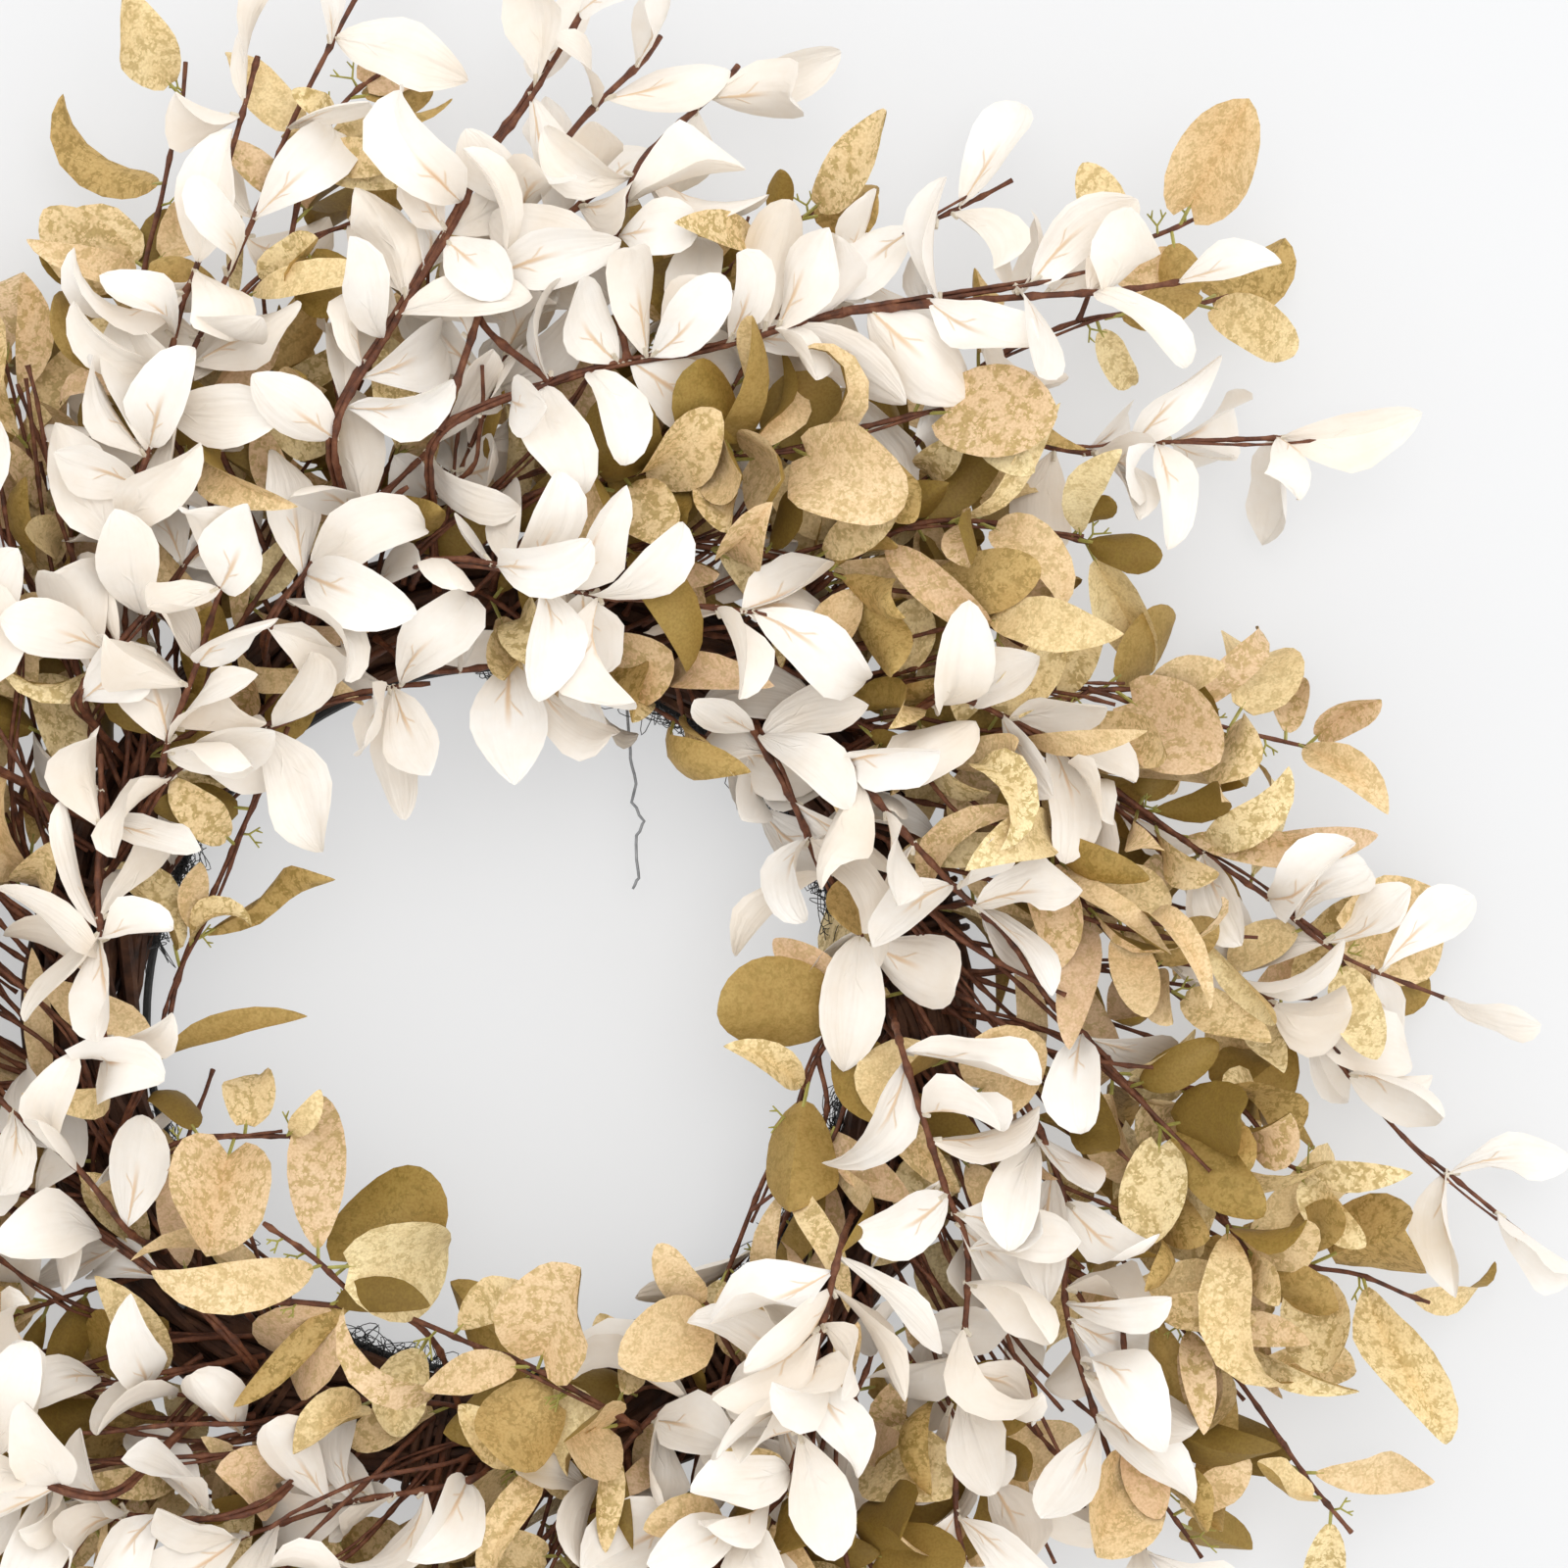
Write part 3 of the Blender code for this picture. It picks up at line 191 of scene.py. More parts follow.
def plain(name, roughness, scale, stops, bump=0.3, distance=0.0003, metallic=0.0):
    """A material whose colour and bump both come from the mottle group."""
    look, tree, shader = new_material(name, roughness, metallic)
    colours = mottled(tree, shader, scale, stops, bump, distance)
    link(tree, [((colours, "Color"), (shader, "Base Color"))])
    return look


def wires(name, routes, look):
    """Round rods: each route is a list of (place, radius). They are one mesh with closed ends."""
    data = bpy.data.curves.new(name, "CURVE")
    data.dimensions = "3D"
    data.bevel_depth = MM
    data.bevel_resolution = 1
    data.use_fill_caps = True
    for route, closed in routes:
        spline = data.splines.new("POLY")
        spline.points.add(len(route) - 1)
        for point, (place, radius) in zip(spline.points, route):
            point.co = (*placed(place), 1.0)
            point.radius = radius
        spline.use_cyclic_u = closed
        spline.use_smooth = True
    piece = bpy.data.objects.new(name, data)
    bpy.context.scene.collection.objects.link(piece)
    pick(piece)
    bpy.ops.object.convert(target="MESH")
    piece.data.materials.clear()
    piece.data.materials.append(look)
    bpy.ops.object.shade_smooth_by_angle(angle=math.radians(VINE_SMOOTH))
    return piece


def vine_route(draw, share, thick):
    """One vine: it keeps its distance from the ring's core and winds slowly round it."""
    start = draw.uniform(0, 2 * math.pi)
    turns = draw.choice(VINE_TURNS)
    wander = [(draw.uniform(0, ANY_PHASE), draw.randint(2, 9), draw.uniform(0.02, 0.09)) for _ in range(3)]
    route = []
    for step in range(VINE_STEPS):
        angle = 2 * math.pi * step / VINE_STEPS
        sway = sum(size * math.sin(count * angle + phase) for phase, count, size in wander)
        around = start + turns * angle + VINE_WIND * sway
        reach = share * (1 + VINE_STRAY * sway)
        out = (RING_HALF_WIDTH + RING_RELIEF - thick) * reach * math.cos(around)
        level = RING_LEVEL + (RING_HALF_HEIGHT + RING_RELIEF - thick) * reach * math.sin(around)
        size = thick * (1 + VINE_SWELL * math.sin(11 * angle + start))
        route.append((polar(RING_RADIUS + out, angle, max(level, size + VINE_OFF_FLOOR)), size))
    return route, True


vine_look = plain("vine", 0.8, 90.0, ((0.3, VINE_DARK), (0.5, VINE_BROWN), (0.75, VINE_PALE)), *BARK_RELIEF)
draw = random.Random(f"{SEED} vines")
vine_routes = []
for count, share, thick in VINE_LAYERS:
    for _ in range(count):
        vine_routes.append(vine_route(draw, share, thick * draw.uniform(0.75, 1.2)))
vines = wires("vines", vine_routes, vine_look)
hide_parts("vine_ring")
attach(vines, "root")

# Vine bindings: thin vines wound a few times round the whole bundle, which hold the ring
# together. They are the same brown vine as the ring.
BINDINGS = (14, 52, 86, 128, 163, 205, 238, 262, 301, 338)
BINDING_TURNS = 4
BINDING_PITCH = 3.6
BINDING_VINE = 1.3
BINDING_POINTS = 14
BINDING_SWAY = 1.1

binding_routes = []
for degrees in BINDINGS:
    route = []
    steps = BINDING_TURNS * BINDING_POINTS
    for step in range(steps + 1):
        around = 2 * math.pi * BINDING_TURNS * step / steps
        drift = BINDING_PITCH * (step / steps - 0.5) * BINDING_TURNS
        angle = math.radians(degrees) + (drift + BINDING_SWAY * math.sin(around + degrees)) / RING_RADIUS
        out = (RING_HALF_WIDTH + RING_RELIEF + 0.4) * math.cos(around)
        level = RING_LEVEL + (RING_HALF_HEIGHT + RING_RELIEF + 0.2) * math.sin(around)
        route.append((polar(RING_RADIUS + out, angle, max(level, BINDING_VINE)), BINDING_VINE))
    binding_routes.append((route, False))
bindings = wires("vine_bindings", binding_routes, vine_look)
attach(bindings, "root")

# Black wire ring: the coated wire that the vines were wound on, seen at the rim of the hole.
# Thin black curly wire is wound loosely round it in a few places.
FRAME_RADIUS = 119.5
FRAME_WIRE = 1.4
FRAME_SIDES = 4
FRAME_LEVEL = 8.0
CURL_WIRE = 0.16
CURLS = ((8, 92), (150, 168), (196, 226), (240, 262), (284, 352))
CURL_STEP = 0.16
CURL_REACH = 6.2
CURL_SWAYS = 5
CURL_STRANDS = 5
CURL_RATE = 0.42
CURL_SWELL = 0.11
CURL_RISE = 5
CURL_OFF_FLOOR = 0.6
HOOP_POINTS = 120

black_look = plain("black_wire", 0.45, 400.0, ((0.3, (0.006, 0.006, 0.006)), (0.8, (0.03, 0.03, 0.032))))
draw = random.Random(f"{SEED} curls")
hoop = []
for step in range(HOOP_POINTS):
    hoop.append((polar(FRAME_RADIUS, 2 * math.pi * step / HOOP_POINTS, FRAME_LEVEL), FRAME_WIRE))
wire_routes = [(hoop, True)]
for first, last in CURLS:
    for strand in range(CURL_STRANDS):
        sways = []
        for _ in range(3):
            sways.append([(draw.uniform(0, ANY_PHASE), draw.uniform(0.35, 1.9), draw.uniform(0.2, 0.6))
                          for _ in range(CURL_SWAYS)])
        route = []
        for step in range(int((last - first) / CURL_STEP)):
            out, along, up = (
                sum(size * math.sin(rate * step * CURL_RATE + phase) for phase, rate, size in sway)
                for sway in sways)
            swell = CURL_REACH * (0.75 + 0.35 * math.sin(CURL_SWELL * step + strand))
            angle = math.radians(first + step * CURL_STEP) + swell * along / FRAME_RADIUS
            level = max(FRAME_LEVEL + CURL_RISE + swell * up, CURL_OFF_FLOOR)
            route.append((polar(FRAME_RADIUS - 2.0 + 0.7 * swell * out, angle, level), CURL_WIRE))
        wire_routes.append((route, False))
black_wire = wires("black_wire", wire_routes, black_look)
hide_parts("frame_wire")
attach(black_wire, "root")

# Loose binding wire: a kinked grey end that stands in the hole at its top, and a small loop
# of the same wire at the left side of the ring. It is bare dull steel wire.
TAIL_WIRE = 0.8
TAIL_SIDES = 6
TAIL_ROUTE = (
    (43.0, 109.6, 15.5), (44.0, 96.0, 15.0), (44.0, 89.0, 14.0), (46.0, 80.0, 13.0), (44.8, 73.6, 12.0),
    (48.6, 67.8, 12.0), (46.4, 62.4, 12.0), (46.2, 54.4, 12.0), (47.2, 48.4, 12.0), (45.0, 44.6, 12.0),
)
LOOP_MIDDLE = (-109.5, 34.6, 20.0)
LOOP_RADIUS = 3.2
LOOP_STEPS = 34
LOOP_TURN_STEPS = 20
LOOP_RISE = 0.16
LOOP_END = (-11.0, 2.5, 1.0)
LOOP_WIRE = 0.5
KINK_PARTS = 3

steel_look = plain("binding_wire", 0.42, 300.0, ((0.3, (0.16, 0.165, 0.17)), (0.7, (0.34, 0.345, 0.35))),
                   metallic=0.6)
TAIL_PATH = [Vector(place) for place in TAIL_ROUTE]
kinked = []
draw = random.Random(f"{SEED} kinks")
for first, second in zip(TAIL_PATH, TAIL_PATH[1:]):
    for part in range(KINK_PARTS):
        sway = Vector((draw.uniform(-0.35, 0.35), draw.uniform(-0.35, 0.35), draw.uniform(-0.3, 0.3)))
        kinked.append((first.lerp(second, part / KINK_PARTS) + sway, 0.62 * TAIL_WIRE))
kinked.append((TAIL_PATH[-1], 0.5 * TAIL_WIRE))
steel_tail = wires("steel_tail", [(kinked, False)], steel_look)
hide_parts("wire_tail")
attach(steel_tail, "root")

eye_route = []
for step in range(LOOP_STEPS):
    turn = 2 * math.pi * step / LOOP_TURN_STEPS
    away = Vector((LOOP_RADIUS * math.cos(turn), LOOP_RADIUS * math.sin(turn), LOOP_RISE * step))
    eye_route.append((Vector(LOOP_MIDDLE) + away, LOOP_WIRE))
eye_route.append((Vector(LOOP_MIDDLE) + Vector(LOOP_END), LOOP_WIRE))
wire_eye = wires("wire_eye", [(eye_route, False)], steel_look)
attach(wire_eye, "root")

# Stems: each spray is a brown plastic stem over wire, pushed into the ring at its foot. It is
# found in the same way as its solid: its foot and its height are tried until it is clear.
# Side stems fork off the main one. The ring, the wires and the tie keep their room.
TIE_SPRAY = "cream_spray_19"
TIE_PLACES = (0.3, 0.34, 0.26, 0.38, 0.22, 0.42, 0.46, 0.5)
TIE_WIDTH = 4.6
TIE_THICK = 1.2
TIE_SIDES = 10
CROWD_SIZE = 6000
# Fit between neighbouring pieces
SEAT_GAP = 0.35
SEAT_RAISE = 0.15
SEAT_TRIES = 40
CLEAR = 0.4
LOWEST_LEAF = 1.6

# What is tried, in turn, until a stem or a leaf is clear: millimetres for the lifts and the feet,
# radians round the ring for the foot turns, degrees for the leaves
STEM_LIFTS = (0, 3, -3, 6, -6, 9, -9, 13, 17, -13, 22, 27)
FOOT_BACKS = (12, 24, 38, 52, 4, 70)
FOOT_TURNS = (0, 0.06, -0.06, 0.13, -0.13, 0.2, -0.2)
FOOT_REACH = 0.6
FORK_LIFTS = (0, 3, -3, 6, -6, 10, -10, 15, 20, -15)

# Stems and leaves
STEM_SIDES = 3
STEM_STEP = 32.0
STEM_TAPER = 0.8
FORK_SIZE = 0.9
LIFT_LEFT = 0.3

# The view that the sprays were drawn in: an eye above the upper right of the wreath.
# A place drawn at x, y is the one seen there when it lies at VIEW_LEVEL.
EYE = Vector((96.0, 80.0, 1510.0))
VIEW_LEVEL = 60.0

# Each spray: name, stem radius, and its stems. A stem: level at its start, level at its tip, points x, y,
# and leaves. A leaf: share along the stem, heading in degrees, seen length and seen width; a leaf with a
# minus width shows its underside. Stems after the first fork off the first.
SPRAYS = (
    ("cream_spray_01", 1.2, (
        (80, 66, ((-120, 159), (-111, 190), (-100, 238), (-95, 251), (-83, 291), (-78, 309)),
         ((0.96, 82, 42, 22), (0.93, 165, 20, 14), (0.61, 74, 45, 23), (0.59, -45, 28, -12),
          (0.57, 205, 18, 14), (0.2, 101, 46, 23), (0.19, 124, 34, -12), (0.21, 66, 32, 10),
          (0.03, 46, 40, 20), (0.0, 117, 46, 20))),)),
    ("cream_spray_02", 1.2, (
        (72, 58, ((-98, 214), (-92, 232), (-76, 267), (-65, 295), (-51, 323), (-43, 338)),
         ((0.88, -19, 46, 21), (0.87, 97, 22, 6), (1.0, 56, 38, 18), (0.4, 43, 44, 24),
          (0.41, 120, 30, -14), (0.04, 24, 41, -17), (0.65, 10, 30, 14))),)),
    ("cream_spray_03", 2.0, (
        (84, 60, ((-51, 197), (-32, 230), (-12, 264), (-3, 283), (12, 303), (32, 336)),
         ((0.8, 90, 38, 19), (0.81, 66, 38, -15), (0.78, -81, 43, 24), (0.98, 20, 36, 17),
          (0.44, -42, 26, 21), (0.45, 118, 20, -16), (0.31, 116, 36, -16), (0.27, 148, 26, 12),
          (0.26, 6, 44, 22), (0.05, 4, 35, 12), (0.04, 106, 36, 18), (0.12, 28, 30, 14))),)),
    ("cream_spray_04", 1.5, (
        (86, 62, ((-16, 195), (20, 211), (45, 218), (71, 222), (115, 234), (147, 239), (174, 243),
          (193, 247)),
         ((0.17, -65, 38, 24), (0.31, -34, 42, 23), (0.33, 100, 36, -17), (0.34, 45, 32, 21),
          (0.29, 120, 28, 17), (0.33, 4, 42, 14), (0.46, 62, 28, 14), (0.53, 68, 34, -12),
          (0.48, -6, 28, 14), (0.56, -34, 45, -17), (0.55, -74, 22, 14), (0.68, -42, 45, -24),
          (0.77, -29, 42, 23), (0.9, -80, 40, 24), (0.93, 38, 42, 20))),
        (66, 56, ((120, 232), (174, 239), (205, 241), (226, 244)),
         ((0.75, -33, 38, 16), (0.77, 74, 28, 14), (1.0, 12, 30, 12))),
        (56, 42, ((33, 215), (40, 250), (47, 278), (55, 289), (76, 308)),
         ((0.95, 0, 32, -20), (0.96, 21, 48, 18), (0.9, -108, 28, 18), (0.6, 160, 30, 15))),
        (72, 54, ((0, 204), (2, 246), (19, 261), (39, 276)),
         ((0.88, 4, 28, -16), (0.9, 76, 26, -16), (0.52, 12, 42, 18), (0.98, 40, 22, 12))),
        (60, 46, ((2, 206), (-4, 234), (8, 262), (27, 293), (51, 317)),
         ((0.84, 105, 25, -17), (0.87, 20, 45, -18), (0.97, 60, 30, 14), (0.53, 130, 30, 16))))),
    ("cream_spray_05", 1.1, (
        (56, 42, ((80, 230), (109, 248), (123, 254), (147, 265), (163, 273)),
         ((0.45, 70, 34, -10), (0.74, 227, 34, 20), (0.8, -95, 34, 14), (0.86, -52, 30, -13),
          (0.9, 60, 42, 19))),)),
    ("cream_spray_06", 1.1, (
        (46, 36, ((160, 192), (195, 188), (212, 191), (258, 193), (276, 194)),
         ((0.86, 10, 47, 16), (0.85, -52, 24, -9), (0.84, -78, 36, 10), (0.52, 37, 33, 10),
          (0.5, -84, 34, 17), (0.55, -8, 22, 6), (0.3, 38, 24, 10), (0.32, -60, 28, 14))),)),
    ("cream_spray_07", 1.2, (
        (74, 52, ((-73, 132), (-58, 151), (-43, 166), (-32, 177), (-18, 191), (-7, 203)),
         ((0.25, 27, 40, 21), (0.22, 98, 44, -14), (0.84, 65, 44, 9), (0.86, 82, 32, 14),
          (0.8, -40, 36, 21), (0.5, 150, 30, 16))),)),
    ("cream_spray_08", 1.2, (
        (72, 60, ((-134, 109), (-121, 126), (-107, 142), (-97, 155)),
         ((0.95, 40, 30, 18), (0.93, 120, 36, 18), (0.3, 160, 34, -20), (0.6, 100, 38, 16))),)),
    ("cream_spray_09", 1.2, (
        (66, 88, ((-107, 83), (-105, 94), (-96, 118), (-87, 147)),
         ((1.0, 100, 30, -23), (0.98, 62, 34, 18), (0.97, 206, 24, 17), (0.2, 110, 44, -17),
          (0.22, 34, 40, 9), (0.62, 128, 28, 14), (0.6, 40, 30, 14))),)),
    ("cream_spray_10", 1.2, (
        (60, 58, ((-107, 80), (-91, 91), (-67, 100), (-50, 108), (-29, 112)),
         ((0.48, -64, 44, 22), (0.5, 58, 34, 17), (0.97, -80, 44, 16), (0.99, -62, 40, 14),
          (0.95, -98, 33, 12), (0.96, 142, 22, 14), (1.0, 44, 36, 23), (0.08, -140, 30, 14),
          (0.13, 20, 36, 18))),)),
    ("cream_spray_11", 1.1, (
        (58, 58, ((-24, 118), (-10, 117), (13, 121), (29, 125)),
         ((0.61, -88, 41, 25), (0.69, -50, 44, -14), (0.95, -58, 38, 23))),)),
    ("cream_spray_12", 1.1, (
        (84, 78, ((-19, 153), (0, 152), (32, 142), (51, 140), (87, 136)),
         ((1.0, -38, 46, 23), (0.93, 176, 28, 16), (0.96, 24, 30, 16), (0.9, -72, 30, 13),
          (0.98, -5, 26, -19), (0.48, -82, 26, 23), (0.5, 25, 36, 12), (0.45, 62, 38, 18),
          (0.28, 56, 34, 18), (0.26, 92, 30, 14), (0.2, 125, 26, 14))),)),
    ("cream_spray_13", 1.3, (
        (60, 46, ((87, 96), (96, 80), (104, 63), (112, 47), (123, 27)),
         ((0.02, -33, 36, 19), (0.1, 172, 20, 12), (0.0, 150, 22, 12), (0.48, -105, 26, 14),
          (0.5, -40, 36, 12), (0.68, 226, 40, -15), (0.97, -96, 46, 27), (1.0, -25, 34, -23),
          (0.95, -140, 28, 14))),)),
    ("cream_spray_14", 1.2, (
        (76, 56, ((115, 89), (131, 69), (152, 46), (169, 30), (182, 10), (194, -2), (201, -9)),
         ((0.02, 12, 30, 18), (0.12, 30, 40, -24), (0.42, 222, 34, 17), (0.5, -45, 38, 9),
          (0.53, -30, 30, 12), (0.44, 60, 24, 10), (0.92, -96, 30, 20), (0.94, -14, 32, 16),
          (1.0, -50, 24, 12))),)),
    ("cream_spray_15", 1.1, (
        (60, 48, ((150, 108), (168, 102), (184, 93), (205, 72), (227, 50)),
         ((0.38, -80, 38, 17), (0.4, -30, 28, 9), (0.98, -52, 36, 22), (0.66, -20, 42, -22),
          (0.2, -60, 30, 14))),
        (46, 36, ((188, 88), (229, 60), (255, 42), (278, 24), (312, 10)),
         ((0.85, 35, 38, 10), (0.72, 190, 28, 17), (0.84, -75, 38, 15), (0.4, -70, 30, 16),
          (1.0, -20, 30, 14))))),
    ("cream_spray_16", 1.2, (
        (72, 52, ((134, -5), (149, -53), (156, -73), (154, -112), (152, -154), (155, -174)),
         ((0.02, -12, 46, 9), (0.04, 236, 44, 15), (0.3, 204, 32, 21), (0.36, -42, 42, 24),
          (0.62, 214, 38, 17), (0.66, -70, 38, 18), (0.9, 232, 36, 20), (0.92, -40, 34, 18),
          (1.0, -95, 30, 16))),)),
    ("cream_spray_17", 1.2, (
        (64, 48, ((172, -20), (188, -58), (188, -91), (199, -130), (214, -171)),
         ((0.1, -50, 28, 14), (0.12, -110, 34, 20), (0.46, 5, 34, 17), (0.5, -24, 32, 18),
          (0.72, 238, 36, 20), (0.62, -30, 42, -18), (0.7, -38, 40, 12), (0.98, 150, 38, -21),
          (1.0, -30, 36, 18), (0.99, -80, 36, 18))),)),
    ("cream_spray_18", 1.0, (
        (44, 34, ((238, 20), (267, 0), (277, -11), (298, -35), (314, -48), (331, -62)),
         ((0.3, -66, 30, 19), (0.45, -12, 36, 17), (0.83, 0, 40, 8), (0.82, -85, 42, 13),
          (0.98, -30, 30, 12))),)),
    ("cream_spray_19", 1.6, (
        (52, 56, ((-82, -104), (-96, -90), (-114, -76), (-133, -63), (-160, -48), (-186, -26)),
         ((0.4, 205, 34, 14), (0.62, 246, 36, 20), (0.6, -76, 26, -16), (0.64, 75, 26, 16),
          (0.8, 150, 36, 20), (0.98, 190, 36, 18), (1.0, 110, 38, 20), (0.99, 60, 30, 14))),)),
    ("cream_spray_20", 1.2, (
        (66, 72, ((-118, -66), (-134, -46), (-160, -23), (-180, 2)),
         ((0.2, 48, 36, 21), (0.38, 80, 32, 17), (0.4, 120, 30, 17), (0.6, -100, 26, 17),
          (0.95, 130, 38, 20), (0.97, 70, 36, 18), (0.94, 190, 32, 16))),)),
    ("cream_spray_21", 1.2, (
        (78, 66, ((-126, -6), (-127, 25), (-128, 48), (-127, 67), (-127, 81)),
         ((0.84, 100, 34, -16), (0.86, 2, 32, 6), (0.45, 102, 44, 14), (0.42, -76, 36, 18),
          (0.44, 222, 34, 13), (0.4, 20, 24, 6), (0.98, 150, 34, 18), (0.05, 10, 24, 8))),)),
    ("cream_spray_22", 1.2, (
        (62, 46, ((86, -118), (58, -123), (35, -147), (10, -175)),
         ((0.36, -8, 24, 14), (0.35, -104, 30, 16), (0.68, 166, 26, 19), (0.66, -8, 36, 12),
          (1.0, 215, 36, 20), (0.98, -100, 34, 18), (0.97, 150, 34, 16))),)),
    ("cream_spray_23", 1.2, (
        (74, 56, ((109, -95), (98, -112), (86, -130), (67, -160), (59, -176)),
         ((0.08, 150, 28, 16), (0.12, -104, 30, 13), (0.35, 226, 44, 21), (0.33, -72, 34, -21),
          (0.36, -45, 32, 12), (0.82, 201, 42, 24), (0.8, -78, 32, 14), (1.0, -110, 36, 20),
          (0.99, 240, 30, 15))),)),
    ("cream_spray_24", 1.2, (
        (60, 48, ((-4, -146), (-19, -150), (-48, -155), (-82, -166)),
         ((0.45, 155, 40, -17), (0.5, 200, 36, 19), (0.62, 120, 34, -22), (0.98, 150, 36, 20),
          (1.0, 205, 38, 20), (0.85, -110, 32, 16))),)),
    ("gold_spray_01", 1.1, (
        (56, 46, ((-104, 197), (-113, 240), (-107, 272), (-100, 306)),
         ((1.0, 122, 38, 19), (0.73, 149, 46, -13), (0.43, 143, 38, 24), (0.4, 160, 34, -12),
          (0.46, 70, 24, -15), (0.1, 147, 38, -24), (0.05, 168, 34, 12))),
        (60, 64, ((-104, 198), (-94, 197), (-83, 199), (-70, 202)),
         ((0.5, 22, 34, 12), (0.75, -10, 30, 17), (1.0, 30, 28, 14), (0.85, -70, 28, 13))))),
    ("gold_spray_02", 1.1, (
        (60, 56, ((-86, 232), (-66, 253), (-51, 261), (-37, 263)),
         ((0.25, 30, 28, 17), (0.2, -14, 48, 12), (0.6, -60, 28, -21), (0.1, 150, 27, -16),
          (0.85, 45, 30, -16))),
        (56, 48, ((-66, 253), (-60, 280), (-50, 299), (-43, 307)),
         ((0.2, 36, 38, 20), (1.0, 40, 24, 19), (0.95, 12, 26, -15), (0.85, 166, 20, 9),
          (0.7, 172, 24, -12), (0.6, -14, 26, 14))))),
    ("gold_spray_03", 1.1, (
        (68, 62, ((10, 172), (45, 181), (80, 186), (101, 190), (128, 198), (156, 204)),
         ((0.62, -30, 40, 30), (0.66, 70, 34, 12), (0.92, -4, 40, 31), (0.88, 66, 32, 13),
          (0.24, -56, 32, 20), (0.4, -62, 26, 14), (0.48, 118, 34, -26), (1.0, -50, 32, 14),
          (0.78, -66, 34, -18))),)),
    ("gold_spray_04", 1.1, (
        (54, 44, ((58, 226), (81, 251), (96, 261), (104, 266)),
         ((0.98, 38, 46, 19), (0.96, 10, 27, -18), (0.8, 84, 20, -9), (0.5, 206, 30, -24),
          (0.7, 176, 44, 12), (0.55, -30, 30, 13))),)),
    ("gold_spray_05", 1.1, (
        (46, 36, ((160, 216), (192, 231), (220, 234), (233, 237)),
         ((1.0, 32, 36, -21), (0.98, -34, 43, 18), (0.6, 14, 30, -15), (0.55, -58, 26, 11))),
        (42, 32, ((176, 226), (202, 251), (227, 263)),
         ((1.0, 62, 43, 29), (0.94, -84, 26, -14), (0.6, 120, 30, 15))))),
    ("gold_spray_06", 1.1, (
        (60, 50, ((128, 160), (147, 166), (173, 164), (195, 159)),
         ((0.98, 72, 42, 12), (0.95, 46, 24, -12), (1.0, -58, 47, 19), (0.97, -14, 28, -14),
          (0.45, 20, 34, -15), (0.5, -40, 36, 18))),)),
    ("gold_spray_07", 1.1, (
        (56, 46, ((150, 122), (170, 114), (195, 111), (214, 111)),
         ((0.8, 44, 38, -25), (0.85, -36, 39, 30), (1.0, 16, 28, 13), (0.7, 112, 20, -9),
          (0.98, -18, 26, -13), (0.45, 75, 28, -12), (0.4, -60, 30, 14))),
        (42, 38, ((198, 110), (238, 99), (267, 92)),
         ((0.92, 74, 24, 12), (1.0, 34, 28, 12), (0.98, -42, 36, 13), (0.55, -60, 24, -15))))),
    ("gold_spray_08", 1.1, (
        (52, 36, ((176, 96), (196, 82), (232, 58), (267, 34), (277, 24)),
         ((0.93, 5, 44, 37), (0.96, -26, 40, -29), (0.98, -72, 38, 18), (0.9, 204, 32, 16),
          (0.55, 42, 38, 15), (0.7, 78, 40, 10), (0.35, 60, 30, -15), (0.4, -60, 30, 16))),
        (52, 48, ((180, 93), (182, 62), (196, 38), (210, 23), (223, 12)),
         ((0.45, -57, 50, 13), (0.75, -12, 27, -12), (0.9, -70, 28, 13), (1.0, -30, 36, 15),
          (0.5, 160, 26, -13), (0.9, 40, 30, -15))))),
    ("gold_spray_09", 1.1, (
        (66, 56, ((45, 157), (64, 158), (89, 155), (109, 152)),
         ((0.35, -100, 27, 12), (1.0, 1, 52, 20), (0.96, 30, 38, 16), (0.75, -70, 30, -15),
          (0.7, 60, 30, -15))),
        (58, 60, ((100, 153), (128, 144), (147, 141), (166, 130)),
         ((0.6, 8, 42, -20), (0.95, -4, 48, 19), (0.9, -98, 44, 14), (0.4, -70, 34, -17))))),
    ("gold_spray_10", 1.1, (
        (50, 40, ((120, 8), (107, -9), (101, -25), (89, -50), (78, -78)),
         ((0.05, 176, 40, -30), (0.35, 145, 30, 10), (0.32, -104, 40, -25), (0.0, 128, 30, 14),
          (1.0, 250, 28, 12))),
        (46, 38, ((112, -8), (110, -26), (104, -44), (91, -75)),
         ((0.35, -38, 36, 12), (0.98, -96, 22, 10))))),
    ("gold_spray_11", 1.1, (
        (56, 44, ((186, -2), (208, -18), (227, -43), (241, -64), (249, -75)),
         ((0.94, 24, 50, 19), (0.86, -84, 52, 18), (0.97, -40, 32, -17), (1.0, -62, 28, 12),
          (0.45, -42, 42, -19), (0.3, 30, 30, -15))),
        (48, 42, ((214, -26), (240, -22), (258, -42), (264, -46)),
         ((0.98, 0, 36, 11), (0.9, 122, 32, -23), (1.0, -50, 30, 14))),
        (46, 38, ((222, -37), (238, -62), (262, -76), (283, -80), (300, -87)),
         ((1.0, -15, 44, 13), (0.84, -60, 54, 19), (0.5, 40, 30, -15), (0.55, -70, 30, 15))))),
    ("gold_spray_12", 1.1, (
        (52, 38, ((206, -86), (224, -94), (234, -101), (249, -121), (267, -147), (275, -157)),
         ((0.85, -15, 42, 15), (0.84, 145, 38, -18), (1.0, -92, 32, 14), (0.25, -85, 34, 13),
          (0.28, 10, 28, 12), (0.96, 160, 30, 13))),
        (46, 40, ((212, -88), (208, -118), (212, -142), (228, -166)),
         ((0.4, -26, 50, -14), (0.5, -75, 30, 16), (0.95, -30, 36, -16), (0.9, 40, 30, 14))))),
